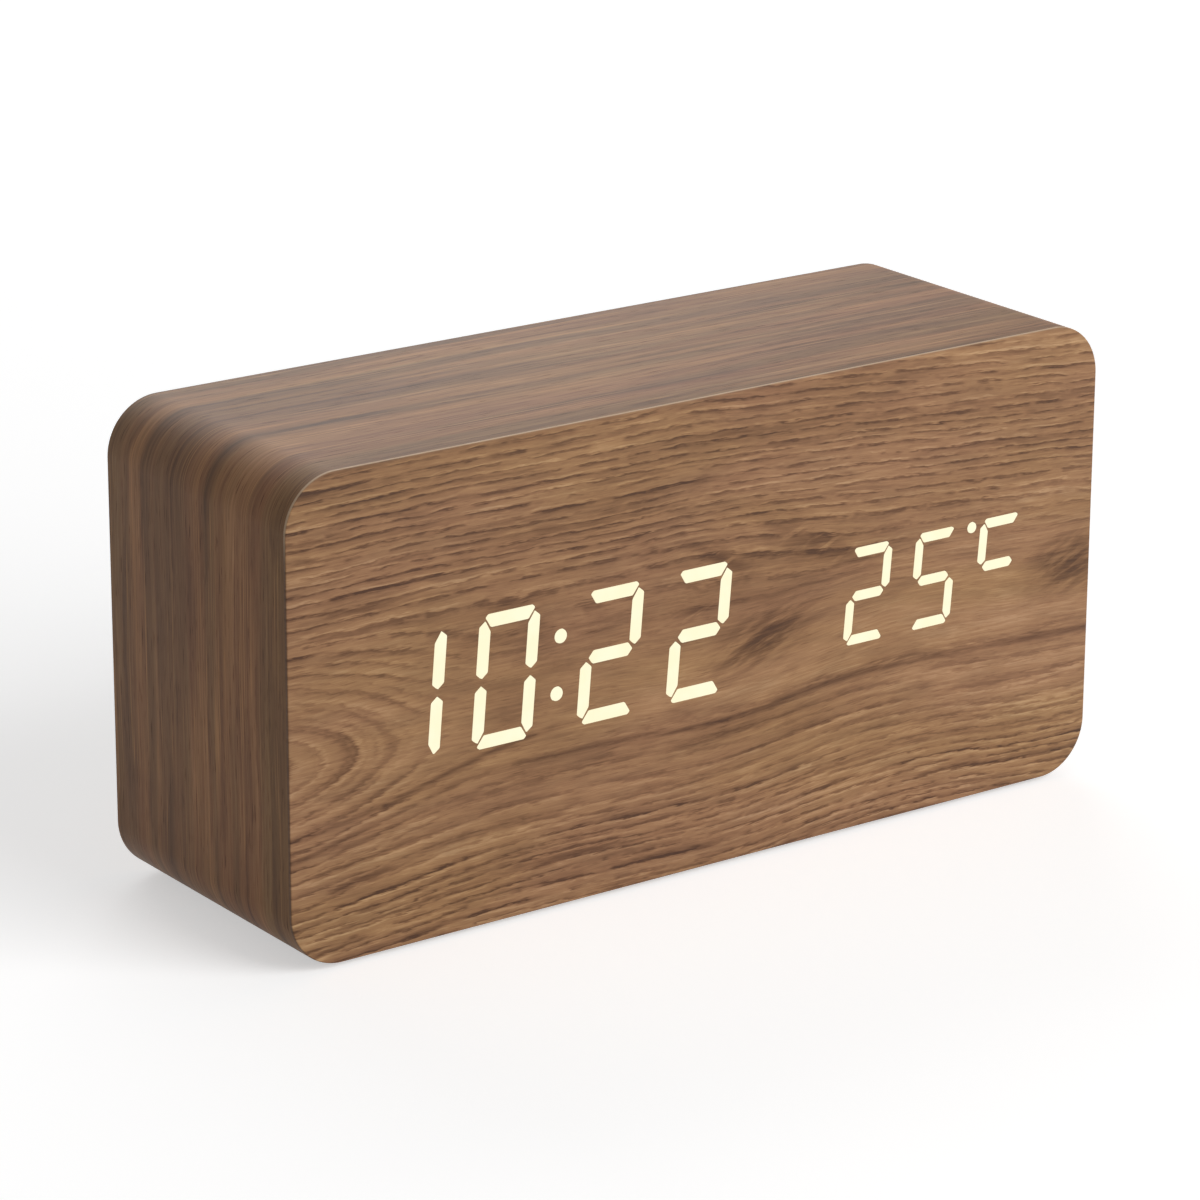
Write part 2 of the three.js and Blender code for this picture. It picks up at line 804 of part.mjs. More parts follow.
const bezelBody = (growth = 0) =>
  rounded(
    bezelWidth - 2 * (bezelShoulder - growth),
    bezelHeight - 2 * (bezelShoulder - growth),
    bezelBodyRadius,
  );

function bezelOpening() {
  const flange = rounded(bezelWidth + 2 * bezelFit, bezelHeight + 2 * bezelFit, bezelRadius);
  return [
    slab(flange, back - bezelFlange - glueLine, back + overrun).translate(0, 0, bezelRise),
    slab(bezelBody(bezelFit), panelSeat - overrun, back).translate(0, 0, bezelRise),
  ];
}

// A flanged block with a skirt and two posts that reach to the button board behind it
function makeBezel() {
  const skirt = slab(bezelBody(), buttonBoardBack + boardRest, back - bezelFlange / 2);
  const block = joined([
    slab(rounded(bezelWidth, bezelHeight, bezelRadius), back - bezelFlange, back),
    without(skirt, [slab(bezelBody(-skirtWall), buttonBoardBack, bezelInner)]),
    ...boardScrews.map((x) => barY(x, 0, postRadius, buttonBoardBack, bezelInner + overrun)),
  ]);
  const guides = Array.from({ length: buttonCount }, (_, i) =>
    barY(stationX(i), 0, buttonRadius + buttonFit, bezelInner - overrun, back + overrun, roundSteps),
  );
  const [slotWidth, slotHeight] = [socketWidth + 2 * socketFit, socketHeight + 2 * socketFit];
  const slot = rounded(slotWidth, slotHeight, slotHeight / 2);
  const screwEnd = buttonBoardFront + boardScrewLength + screwFit;
  return without(block, [
    ...guides,
    slab(rounded(wellWidth, wellHeight, wellRadius), wellFloor, back + overrun).translate(socketX, 0, 0),
    slab(slot, bezelInner - overrun, wellFloor + overrun).translate(socketX, 0, 0),
    ...boardScrews.map((x) => screwHoleY([x, 0], smallScrewRadius, buttonBoardBack - overrun, screwEnd)),
  ]);
}

// A button: a cap that stands proud, a flange that stops it, and a stem onto the plunger
function makeButton() {
  return turned([
    [0, stemEnd],
    [buttonStemRadius, stemEnd],
    [buttonStemRadius, buttonSeat - buttonFlange],
    [buttonRadius + buttonFlangeLip, buttonSeat - buttonFlange],
    [buttonRadius + buttonFlangeLip, buttonSeat],
    [buttonRadius, buttonSeat],
    [buttonRadius, back + buttonProud - buttonEdge],
    [buttonRadius - buttonEdge, back + buttonProud],
    [0, back + buttonProud],
  ]);
}

function makeSwitch() {
  const half = switchSize / 2;
  const depth = plungerRoot + buttonTravel + buttonRest;
  const bore = barY(0, 0, plungerRadius + plungerFit, switchTop - depth, switchTop + overrun);
  return without(box(-half, half, buttonBoardBack, switchTop, -half, half), [bore]);
}

const makePlunger = () => barY(0, 0, plungerRadius, switchTop - plungerRoot, plungerEnd);

function makeButtonBoard() {
  const [y0, y1] = [buttonBoardFront - overrun, buttonBoardBack + overrun];
  const holes = boardScrews.map((x) => screwHoleY([x, 0], smallScrewRadius, y0, y1));
  return without(slab(bezelBody(), buttonBoardFront, buttonBoardBack), holes);
}

function makeSocketShell() {
  const [width, height] = [socketWidth - 2 * socketWall, socketHeight - 2 * socketWall];
  const shell = slab(rounded(socketWidth, socketHeight, socketHeight / 2), buttonBoardBack, wellFloor);
  return without(shell, [
    slab(rounded(width, height, height / 2), buttonBoardBack + socketBase, wellFloor + overrun),
  ]);
}

function makeSocketTongue() {
  const [w, t] = [tongueWidth / 2, tongueThickness / 2];
  return box(-w, w, buttonBoardBack + socketBase, wellFloor - tongueSetback, -t, t);
}

// Battery compartment

function makeBatteryBox() {
  const [l, w] = [bayLength / 2, bayWidth / 2];
  const body = joined([
    box(-boxHalfLength, boxHalfLength, -boxHalfWidth, boxHalfWidth, ledge, boxTop),
    box(0, bossEnd, -bossWidth / 2, bossWidth / 2, ledge, ledge + bossHeight),
    tile(flangeOutline(), underside, ledge),
  ]);
  const notchX = doorScrewX + tongueHalf + doorFit;
  const doorScrewEnd = ledge + doorScrewBite + doorScrewFit;
  const open = without(body, [
    box(-l, l, -w, w, ledge - overrun, bayCeiling),
    doorPlate(doorFit, underside - overrun, ledge),
    barZ(notchX, 0, notchRadius, underside - overrun, underside + notchDepth),
    barZ(doorScrewX, 0, smallScrewRadius + doorScrewFit, underside, doorScrewEnd),
    atEnd(-cellEnd(0), tabSlot(cellY(0))),
    atEnd(lastCellEnd, tabSlot(lastCellY)),
    ...[-hookFromMiddle, hookFromMiddle].map(hookSlot),
    ...boxScrews.map(boxSink),
  ]);
  const ribs = Array.from({ length: cellCount - 1 }, (_, i) => bayRib(cellY(i) + cellPitch / 2));
  return joined([open, ...ribs]);
}

// The outline of the door, moved out by a growth: a plate with a tongue over the boss
function doorPlate(growth, z0, z1) {
  const width = bayWidth / 2 + doorLedge - doorFit + growth;
  const half = tongueHalf + growth;
  const plate = roundedBetween(doorHingeX - growth, growth - doorHingeX, -width, width, doorRadius);
  const tongue = roundedBetween(0, doorScrewX + half, -half, half, tongueRadius);
  return tile(plate, z0, z1).add(tile(tongue, z0, z1));
}

function hookSlot(y) {
  const half = hookWidth / 2 + doorFit;
  return box(-boxHalfLength - overrun, -bayLength / 2, y - half, y + half, ledge, ledge + hookSlotHeight);
}

// A slot for a solder tab through the +X end wall
function tabSlot(y) {
  const half = tabWidth / 2 + contactGap;
  const [z0, z1] = [tabZ - contactGap, tabZ + contactThickness + contactGap];
  return box(bayLength / 2, boxHalfLength + overrun, y - half, y + half, z0, z1);
}

// A solid of the +X end, mirrored where it goes to the other end
const atEnd = (end, shape) => (end > 0 ? shape : shape.mirror([1, 0, 0]));

// A rib under the ceiling of the bay, which parts two cells
function bayRib(y) {
  const reach = bayLength / 2 - springSpace - contactThickness - nubLength;
  const half = ribThickness / 2;
  return box(-reach, reach, y - half, y + half, bayCeiling - ribDepth, bayCeiling + boxWall / 2);
}

// A through hole in the flange that takes a countersunk head
function boxSink([x, y]) {
  const [shank, head] = [smallScrewRadius + screwFit, boxHeadRadius + screwFit];
  const cone = barZ(x, y, head, underside, underside + head - shank, screwSteps, shank);
  return cone.add(barZ(x, y, shank, underside - overrun, ledge + overrun));
}

// A contact against the +X end wall: a plate with springs, bumps and tabs at places along Y
function makeContact(places, springs, bumps, tabs) {
  const wall = bayLength / 2 - contactGap;
  const plate = wall - contactThickness;
  const [first, last] = [Math.min(...places), Math.max(...places)];
  const [bottom, top] = [cellZ - contactHeight / 2, cellZ + contactHeight / 2];
  const reach = boxHalfLength + solderTab;
  return joined([
    box(plate, wall, first - contactWidth / 2, last + contactWidth / 2, bottom, top),
    ...springs.map((y) => makeSpring().translate(plate, y, cellZ)),
    ...bumps.map((y) => makeBump().translate(plate, y, cellZ)),
    ...tabs.map((y) => box(plate, reach, y - tabWidth / 2, y + tabWidth / 2, tabZ, tabZ + contactThickness)),
  ]);
}

function makeBump() {
  const root = contactThickness / 2;
  const bump = new THREE.CylinderGeometry(nubRadius, nubRadius / 2, contactBump + root, screwSteps);
  return solid(bump.rotateZ(-Math.PI / 2).translate((root - contactBump) / 2, 0, 0));
}

// A conical spring that winds from inside its plate out along -X, as one tube
function makeSpring() {
  const count = springTurns * springSteps;
  const reach = springSpace - springWire / 2;
  const rings = Array.from({ length: count + 1 }, (_, i) => {
    const turn = (2 * Math.PI * i) / springSteps;
    const out = new THREE.Vector3(0, Math.cos(turn), Math.sin(turn));
    const radius = THREE.MathUtils.lerp(springFoot, springTip, i / count);
    const x = THREE.MathUtils.lerp(contactThickness / 2, -reach, i / count);
    const middle = new THREE.Vector3(x, 0, 0).addScaledVector(out, radius);
    return Array.from({ length: springSides }, (_, k) => {
      const angle = (2 * Math.PI * k) / springSides;
      const across = new THREE.Vector3(Math.sin(angle), 0, 0).addScaledVector(out, Math.cos(angle));
      return across.multiplyScalar(springWire / 2).add(middle);
    });
  });
  return tubeOf(rings);
}

// A closed tube through rings of points, with each ring turning the same way
function tubeOf(rings) {
  const sides = rings[0].length;
  const last = (rings.length - 1) * sides;
  const index = [];
  for (let start = 0; start < last; start += sides)
    for (let k = 0; k < sides; k++) {
      const [a, b] = [start + k, start + ((k + 1) % sides)];
      index.push(a, b + sides, b, a, a + sides, b + sides);
    }
  for (let k = 1; k + 1 < sides; k++) index.push(0, k, k + 1, last, last + k + 1, last + k);
  const geometry = new THREE.BufferGeometry().setFromPoints(rings.flat());
  geometry.setIndex(index);
  return solid(geometry);
}

// A cell along Y with its negative end at the origin
function makeCell() {
  const [r, end] = [cellDiameter / 2, cellLength - nubLength];
  return turned([
    [0, 0],
    [r - cellEdge, 0],
    [r, cellEdge],
    [r, end - cellEdge],
    [r - cellEdge, end],
    [nubRadius, end],
    [nubRadius, cellLength],
    [0, cellLength],
  ]);
}

function makeDoor() {
  const hooks = [-hookFromMiddle, hookFromMiddle].flatMap((y) => {
    const [y0, y1] = [y - hookWidth / 2, y + hookWidth / 2];
    const [tip, root] = [doorHingeX - hookReach, doorHingeX + doorLedge];
    const bottom = ledge + doorGap;
    return [
      box(tip, root + hookRoot, y0, y1, bottom, bottom + hookThickness),
      box(root, root + hookRoot, y0, y1, underside, bottom + hookThickness),
    ];
  });
  return without(joined([doorPlate(0, underside, doorTop), ...hooks]), [boxSink([doorScrewX, 0])]);
}

// Wires

// A round wire along a smooth curve through points
function makeLead(points) {
  const extrudePath = new THREE.CatmullRomCurve3(points.map((p) => new THREE.Vector3(...p)));
  const section = Array.from({ length: leadSides }, (_, k) => {
    const angle = (2 * Math.PI * k) / leadSides;
    return new THREE.Vector2(leadRadius * Math.cos(angle), leadRadius * Math.sin(angle));
  });
  const settings = { extrudePath, steps: leadSteps, bevelEnabled: false };
  return solid(new THREE.ExtrudeGeometry(new THREE.Shape(section), settings));
}

// A flat cable that hangs in one loop between two plugs
function makeRibbon(y0, y1) {
  const [half, stub] = [ribbonThickness / 2, (y1 - y0) / 6];
  const route = [
    [y0, 0],
    [y0 + stub, 0],
    [y0 + 2 * stub, -ribbonSag],
    [y1 - 2 * stub, -ribbonSag],
    [y1 - stub, 0],
    [y1, 0],
  ].map(([y, z]) => new THREE.Vector2(y, z));
  const middle = new THREE.SplineCurve(route).getPoints(ribbonSteps);
  const side = (distance) =>
    middle.map((point, i) => {
      const inside = i > 0 && i < ribbonSteps;
      const [before, after] = inside ? [middle[i - 1], middle[i + 1]] : route;
      const along = after.clone().sub(before).normalize();
      return point.clone().addScaledVector(new THREE.Vector2(-along.y, along.x), distance);
    });
  const outline = new THREE.Shape([...side(half), ...side(-half).reverse()]);
  const geometry = new THREE.ExtrudeGeometry(outline, { depth: ribbonWidth, bevelEnabled: false });
  return solid(geometry.rotateZ(Math.PI / 2).rotateY(Math.PI / 2).translate(-ribbonWidth / 2, 0, 0));
}

// Assembly of the case

const clock = new THREE.Group();
clock.position.set(0, -buttonProud / 2, footHeight + caseHeight / 2);

add(clock, "case_core", makeCore(), "fibreboard");
add(clock, "wrap_foil", makeWrapFoil(), "woodFoil");
add(clock, "front_foil", makeFrontFoil(), "woodFoil");
add(clock, "back_panel", makeBackPanel(), "fibreboard");
add(clock, "back_foil", makeBackFoil(), "woodFoil");

const footX = caseWidth / 2 - cornerRadius - footRadius;
const footY = caseDepth / 2 - footMargin - footRadius;
corners(footX, footY).forEach(([x, y], i) => {
  const foot = barZ(0, 0, footRadius, underside - footHeight, underside, roundSteps);
  add(clock, `foot_${i + 1}`, foot, "rubber", x, y);
});

panelScrews.forEach(([x, z], i) => {
  const screw = countersunkScrew(panelScrewLength, panelScrewRadius, panelHeadRadius);
  add(clock, `panel_screw_${i + 1}`, screw, "blackScrew", x, coreBack, z);
});

// Assembly of the display module

const display = new THREE.Group();
display.position.set(0, 0, displayRise);
clock.add(display);
add(display, "time_diffuser", makeDiffuser(timeGroup, timeWindow), "opal");
add(display, "temperature_diffuser", makeDiffuser(temperatureGroup, temperatureWindow), "opal");
add(display, "segment_mask", makeMask(), "blackPlastic");
add(display, "display_board", makeDisplayBoard(), "circuitBoard");
displayScrews.forEach(([x, z], i) => {
  const screw = panScrew(displayScrewBite + maskDepth + boardThickness);
  add(display, `display_screw_${i + 1}`, screw, "steel", x, boardBack + smallHeadHeight, z);
});

const plugZ = plugHeight / 2 - maskHalf + windowRadius;
const batteryPlugX = timePlaces[3];
const chipX = timePlaces[1];
const crystalZ = -chipWidth / 2 - legReach - crystalGap - crystalWidth / 2;
const controlsZ = bezelRise - displayRise;
const batteryPlug = makePlug(batteryPlugWidth, boardBack, plugBack);
const ribbonPlug = makePlug(ribbonPlugWidth, boardBack, plugBack);
add(display, "controller_chip", makeChip(), "chip", chipX);
add(display, "crystal", makeCrystal(), "steel", chipX, 0, crystalZ);
add(display, "buzzer", makeBuzzer(), "blackPlastic", ventX, 0, controlsZ);
add(display, "smoothing_capacitor", makeCapacitor(), "capacitorSleeve", temperaturePlaces[0], 0, plugZ);
add(display, "thermistor", makeThermistor(), "bead", ventX, 0, plugZ);
add(display, "battery_plug", batteryPlug, "whitePlastic", batteryPlugX, 0, plugZ);
add(display, "display_ribbon_plug", ribbonPlug, "whitePlastic", 0, 0, controlsZ);

// Assembly of the control module

const controls = new THREE.Group();
controls.position.set(0, 0, bezelRise);
clock.add(controls);
const buttonPlugFront = buttonBoardFront - plugDepth;
const buttonPlug = makePlug(ribbonPlugWidth, buttonPlugFront, buttonBoardFront);
add(controls, "control_bezel", makeBezel(), "blackPlastic");
add(controls, "button_board", makeButtonBoard(), "circuitBoard");
add(controls, "button_ribbon_plug", buttonPlug, "whitePlastic");
add(controls, "ribbon_cable", makeRibbon(plugBack + plugGap, buttonPlugFront - plugGap), "ribbon");
add(controls, "socket_shell", makeSocketShell(), "steel", socketX);
add(controls, "socket_tongue", makeSocketTongue(), "blackPlastic", socketX);
["down", "up", "set"].forEach((name, i) => {
  add(controls, `${name}_button`, makeButton(), "blackPlastic", stationX(i));
  add(controls, `${name}_switch`, makeSwitch(), "blackPlastic", stationX(i));
  add(controls, `${name}_plunger`, makePlunger(), "whitePlastic", stationX(i));
});
boardScrews.forEach((x, i) => {
  const screw = add(controls, `board_screw_${i + 1}`, panScrew(boardScrewLength), "steel", x);
  screw.position.y = buttonBoardFront - smallHeadHeight;
  screw.rotation.x = Math.PI;
});

// Assembly of the battery compartment

const doorScrew = countersunkScrew(flangeThickness + doorScrewBite, smallScrewRadius, boxHeadRadius);
const boxScrew = countersunkScrew(flangeThickness + boxScrewBite, smallScrewRadius, boxHeadRadius);
const upward = -Math.PI / 2;
add(clock, "battery_box", makeBatteryBox(), "blackPlastic");
add(clock, "battery_door", makeDoor(), "blackPlastic");
add(clock, "door_screw", doorScrew, "blackScrew", doorScrewX, 0, underside).rotation.x = upward;
boxScrews.forEach(([x, y], i) => {
  add(clock, `box_screw_${i + 1}`, boxScrew, "blackScrew", x, y, underside).rotation.x = upward;
});
for (let i = 0; i < cellCount; i++) {
  const bumpFace = bayLength / 2 - contactGap - contactThickness - contactBump;
  const negativeEnd = cellEnd(i) * (bumpFace - contactGap - cellLength);
  const cell = add(clock, `cell_${i + 1}`, makeCell(), "cellJacket", negativeEnd, cellY(i), cellZ);
  cell.rotation.z = (-cellEnd(i) * Math.PI) / 2;
}
const firstCellY = cellY(0);
const negative = makeContact([firstCellY], [firstCellY], [], [firstCellY]);
const positive = makeContact([lastCellY], [], [lastCellY], [lastCellY]);
add(clock, "negative_contact", atEnd(-cellEnd(0), negative), "nickel");
add(clock, "positive_contact", atEnd(lastCellEnd, positive), "nickel");
["first", "second", "third"].slice(0, cellCount - 1).forEach((order, i) => {
  const link = makeContact([cellY(i), cellY(i + 1)], [cellY(i + 1)], [cellY(i)], []);
  add(clock, `${order}_link_contact`, atEnd(cellEnd(i), link), "nickel");
});

// The leads run from the solder tabs over the top of the battery box and up into their plug
const tabX = boxHalfLength + solderTab;
const tabTop = tabZ + contactThickness + leadRadius + contactGap;
const leadZ = boxTop + 3 * leadRadius;
const leadPlugZ = displayRise + plugZ - plugHeight / 2 - plugGap;
const leadPlugY = (boardBack + plugBack) / 2;
const leadPlugX = [batteryPlugX - batteryPlugWidth / 4, batteryPlugX + batteryPlugWidth / 4];
const leadRoute = (side, y, plugX) => [
  [side * (tabX - leadRadius), y, tabTop],
  [side * (tabX + leadRadius), y, tabTop + leadRadius],
  [side * tabX, y, leadZ],
  [side * leadBendShare * tabX, leadBendShare * y, leadZ],
  [plugX + side * leadCrossShare * tabX, leadPlugY / 2, leadZ],
  [plugX, leadPlugY, leadPlugZ - 2 * leadRadius],
  [plugX, leadPlugY, leadPlugZ],
];
const blackRoute = leadRoute(-cellEnd(0), firstCellY, leadPlugX[0]);
const redRoute = leadRoute(lastCellEnd, lastCellY, leadPlugX[1]);
add(clock, "black_lead", makeLead(blackRoute), "blackWire");
add(clock, "red_lead", makeLead(redRoute), "redWire");

export default clock;
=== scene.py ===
# %% [markdown]
# # A wooden alarm clock with time and room temperature
#
# This lesson dresses a small bedside clock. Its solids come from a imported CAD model, which is a
# fixed frame: every new piece is made in metres, in the same place as the solid it stands for.
# The clock is a fibreboard box in wood-grain foil, so most of its looks are in two things:
# crisp rounded edges, and a believable walnut figure that runs the right way on each face.

# %% Load the frame
import json
import math

import bmesh
import bpy
from mathutils import Matrix, Vector

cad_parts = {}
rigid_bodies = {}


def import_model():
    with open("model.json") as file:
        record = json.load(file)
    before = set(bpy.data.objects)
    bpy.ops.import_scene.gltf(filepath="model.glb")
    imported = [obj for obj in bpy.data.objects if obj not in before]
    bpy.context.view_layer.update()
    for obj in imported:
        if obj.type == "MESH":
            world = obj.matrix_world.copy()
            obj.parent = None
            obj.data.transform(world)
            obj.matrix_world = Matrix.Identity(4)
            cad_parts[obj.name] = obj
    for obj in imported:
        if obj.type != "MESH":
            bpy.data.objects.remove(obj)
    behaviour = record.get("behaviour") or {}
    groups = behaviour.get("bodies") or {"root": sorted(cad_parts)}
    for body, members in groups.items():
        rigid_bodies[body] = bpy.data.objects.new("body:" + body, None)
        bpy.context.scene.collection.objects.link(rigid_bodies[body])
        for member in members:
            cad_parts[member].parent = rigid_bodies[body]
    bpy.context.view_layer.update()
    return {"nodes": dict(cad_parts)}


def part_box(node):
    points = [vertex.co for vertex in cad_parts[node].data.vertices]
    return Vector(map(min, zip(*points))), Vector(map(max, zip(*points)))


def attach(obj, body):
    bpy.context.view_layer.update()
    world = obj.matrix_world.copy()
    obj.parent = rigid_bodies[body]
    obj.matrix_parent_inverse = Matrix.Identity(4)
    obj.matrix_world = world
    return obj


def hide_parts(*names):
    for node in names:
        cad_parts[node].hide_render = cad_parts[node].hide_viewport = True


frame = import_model()
nodes = frame["nodes"]
MM = 0.001


def box_of(node):
    """A solid's lowest and highest corner, in millimetres."""
    low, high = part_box(node)
    return low / MM, high / MM


def middle_of(node):
    """The middle of a solid, in millimetres."""
    low, high = box_of(node)
    return (low + high) / 2


# %% [markdown]
# ## The camera
#
# The camera stands where the photographer's did. Its place was found by fitting the box's
# straight edges and rounded outline to the picture, so it is written down as a place, a point
# it looks at, a long lens and a hair of roll.

# %% Place the camera
CAMERA_PLACE = Vector((-0.42078, -0.57587, 0.27289))
CAMERA_AIM = Vector((-0.00215, 0.00059, 0.03674))
CAMERA_LENS = 146.62
CAMERA_ROLL = 0.0046
CAMERA_NEAR = 0.01

scene_objects = bpy.context.scene.collection.objects
camera = bpy.data.objects.new("camera", bpy.data.cameras.new("camera"))
scene_objects.link(camera)
camera.data.lens = CAMERA_LENS
camera.data.clip_start = CAMERA_NEAR
camera.rotation_mode = "QUATERNION"
look = (CAMERA_AIM - CAMERA_PLACE).to_track_quat("-Z", "Y").to_matrix().to_4x4()
roll = Matrix.Rotation(CAMERA_ROLL, 4, "Z")
camera.matrix_world = Matrix.Translation(CAMERA_PLACE) @ look @ roll
bpy.context.scene.camera = camera
bpy.context.scene.view_settings.view_transform = "Standard"
print("camera", round((CAMERA_AIM - CAMERA_PLACE).length, 3), "m away")

# %% [markdown]
# ## Small helpers for shader nodes
#
# A wood figure needs a few dozen sums. Written node by node they are hard to read, so a signal
# wraps one output socket and lets plain arithmetic make the Math nodes. A graph holds the nodes
# of one material or of one group.

# %% Signals and graphs
class Signal:
    """One output socket. Adding, multiplying and so on makes the Math nodes for it."""

    def __init__(self, graph, socket):
        self.graph = graph
        self.socket = socket

    def __add__(self, other):
        return self.graph.math("ADD", self, other)

    def __sub__(self, other):
        return self.graph.math("SUBTRACT", self, other)

    def __mul__(self, other):
        return self.graph.math("MULTIPLY", self, other)

    def __truediv__(self, other):
        return self.graph.math("DIVIDE", self, other)

    def root(self):
        return self.graph.math("SQRT", self)

    def fraction(self):
        return self.graph.math("FRACT", self)

    def flipped(self):
        return self.graph.math("SUBTRACT", 1.0, self)

    def step(self, low, high, out_low=0.0, out_high=1.0):
        """A soft step: out_low below low, out_high above high."""
        node = self.graph.node("MapRange", {"interpolation_type": "SMOOTHSTEP"})
        for i, value in enumerate((self, low, high, out_low, out_high)):
            self.graph.feed(node.inputs[i], value)
        return Signal(self.graph, node.outputs[0])

    def bell(self, middle, width):
        """A soft hump of height 1 at the middle."""
        away = (self - middle) / width
        return self.graph.math("EXPONENT", away * away * -1.0)


class Graph:
    """The nodes of one material or group."""

    def __init__(self, tree):
        self.tree = tree
        tree.nodes.clear()

    def feed(self, socket, value):
        """Wires a signal or a socket in, or sets a number or a colour, with or without alpha."""
        if isinstance(value, Signal):
            value = value.socket
        if isinstance(value, bpy.types.NodeSocket):
            self.tree.links.new(value, socket)
        elif socket.type == "RGBA" and len(value) == 3:
            socket.default_value = (*value, 1.0)
        else:
            socket.default_value = value

    def node(self, kind, settings=None, **inputs):
        made = self.tree.nodes.new("ShaderNode" + kind)
        for name, value in (settings or {}).items():
            setattr(made, name, value)
        for name, value in inputs.items():
            self.feed(made.inputs[name.replace("_", " ")], value)
        return made

    def math(self, operation, *values):
        made = self.node("Math", {"operation": operation})
        for socket, value in zip(made.inputs, values):
            self.feed(socket, value)
        return Signal(self, made.outputs[0])

    def object_place(self):
        """The spot on the object in metres, which stays with the piece as it moves."""
        return self.node("TexCoord").outputs["Object"]

    def in_mm(self, place):
        """The x, y and z of a place in metres, as signals in millimetres."""
        grown = self.node("VectorMath", {"operation": "SCALE"}, Vector=place, Scale=1 / MM)
        parts = self.node("SeparateXYZ", Vector=grown.outputs[0])
        return [Signal(self, socket) for socket in parts.outputs]

    def noise(self, place, scale=1.0, detail=2.0, roughness=0.5):
        made = self.node("TexNoise", Vector=place, Scale=scale, Detail=detail, Roughness=roughness)
        return Signal(self, made.outputs[0])

    def noise_at(self, x, y, z, detail=2.0, roughness=0.5):
        """A noise at a place that is made of three numbers or signals."""
        place = self.node("CombineXYZ", X=x, Y=y, Z=z).outputs[0]
        return self.noise(place, detail=detail, roughness=roughness)

    def mix(self, share, low, high, blend="MIX"):
        made = self.node("Mix", {"data_type": "RGBA", "blend_type": blend})
        for i, value in ((0, share), (6, low), (7, high)):
            self.feed(made.inputs[i], value)
        return Signal(self, made.outputs[2])

    def ramp(self, share, stops):
        made = self.node("ValToRGB", Fac=share)
        band = made.color_ramp
        while len(band.elements) < len(stops):
            band.elements.new(0.5)
        for element, (place, colour) in zip(band.elements, stops):
            element.position = place
            element.color = (*colour, 1.0)
        return Signal(self, made.outputs[0])

    def bump(self, height, distance, strength):
        made = self.node("Bump", Height=height, Distance=distance, Strength=strength)
        return Signal(self, made.outputs[0])


def plain(red, green, blue):
    """A screen colour, 0 to 255, as the linear colour that a shader wants."""
    def channel(value):
        share = value / 255
        return share / 12.92 if share <= 0.04045 else ((share + 0.055) / 1.055) ** 2.4

    return tuple(channel(value) for value in (red, green, blue))


print("walnut brown is", [round(c, 3) for c in plain(145, 110, 82)])

# %% Groups and materials
SOCKETS = {float: "NodeSocketFloat", tuple: "NodeSocketColor", Vector: "NodeSocketVector"}


def start_group(name, inputs, outputs):
    """A node group with named sockets: inputs by their first values, and outputs by their types.
    A colour is a tuple. Returns its graph and its inputs as signals."""
    group = bpy.data.node_groups.new(name, "ShaderNodeTree")
    for label, value in inputs.items():
        kind = SOCKETS[type(value)]
        socket = group.interface.new_socket(name=label, in_out="INPUT", socket_type=kind)
        socket.default_value = (*value, 1.0) if isinstance(value, tuple) else value
    for label, kind in outputs.items():
        group.interface.new_socket(name=label, in_out="OUTPUT", socket_type=SOCKETS[kind])
    graph = Graph(group)
    entry = group.nodes.new("NodeGroupInput")
    return graph, {socket.name: Signal(graph, socket) for socket in entry.outputs if socket.name}


def end_group(graph, **results):
    """Sends the signals to the group's outputs."""
    leave = graph.tree.nodes.new("NodeGroupOutput")
    for label, value in results.items():
        graph.feed(leave.inputs[label], value)


def use(graph, name, **inputs):
    """Places a group in a graph and returns its outputs by name."""
    made = graph.tree.nodes.new("ShaderNodeGroup")
    made.node_tree = bpy.data.node_groups[name]
    for label, value in inputs.items():
        graph.feed(made.inputs[label.replace("_", " ")], value)
    return {socket.name: Signal(graph, socket) for socket in made.outputs}


def start_material(name):
    """A material with a Principled shader that is wired to its output."""
    material = bpy.data.materials.new(name)
    material.use_nodes = True
    graph = Graph(material.node_tree)
    shader = graph.node("BsdfPrincipled")
    output = graph.node("OutputMaterial")
    graph.tree.links.new(shader.outputs[0], output.inputs[0])
    return material, graph, shader


def finish_shader(graph, shader, **inputs):
    """Sets or wires the shader's own sockets, named with underscores for spaces."""
    for label, value in inputs.items():
        graph.feed(shader.inputs[label.replace("_", " ")], value)


print("kinds of socket", list(SOCKETS.values()))

# %% [markdown]
# ## The wood grain
#
# Foil like this is a print of a flat-cut walnut board. Its marks are growth lines: each darkens
# slowly from one side, ends in a sharp dark edge and has a pale rim on the other. They break up
# along their way, and between them are hair-fine fibres and broad clouds of tone. One group can
# draw every face: it is told how far a point lies along the grain and across it, in
# millimetres. Where the figure bends, only the across value changes, and the fibres keep their
# own, because in a real board they run on through the figure. Two sets of lines are laid over
# each other, long ones and short dashes, each with its own pitch and strength. A noise as fine
# as the fibres shakes both a little, so their edges are feathered and not cut.

# %% The grain group
WOOD_TONES = [
    (0.0, plain(80, 53, 37)),
    (0.25, plain(114, 81, 57)),
    (0.5, plain(143, 106, 77)),
    (0.7, plain(163, 125, 91)),
    (1.0, plain(198, 161, 124)),
]
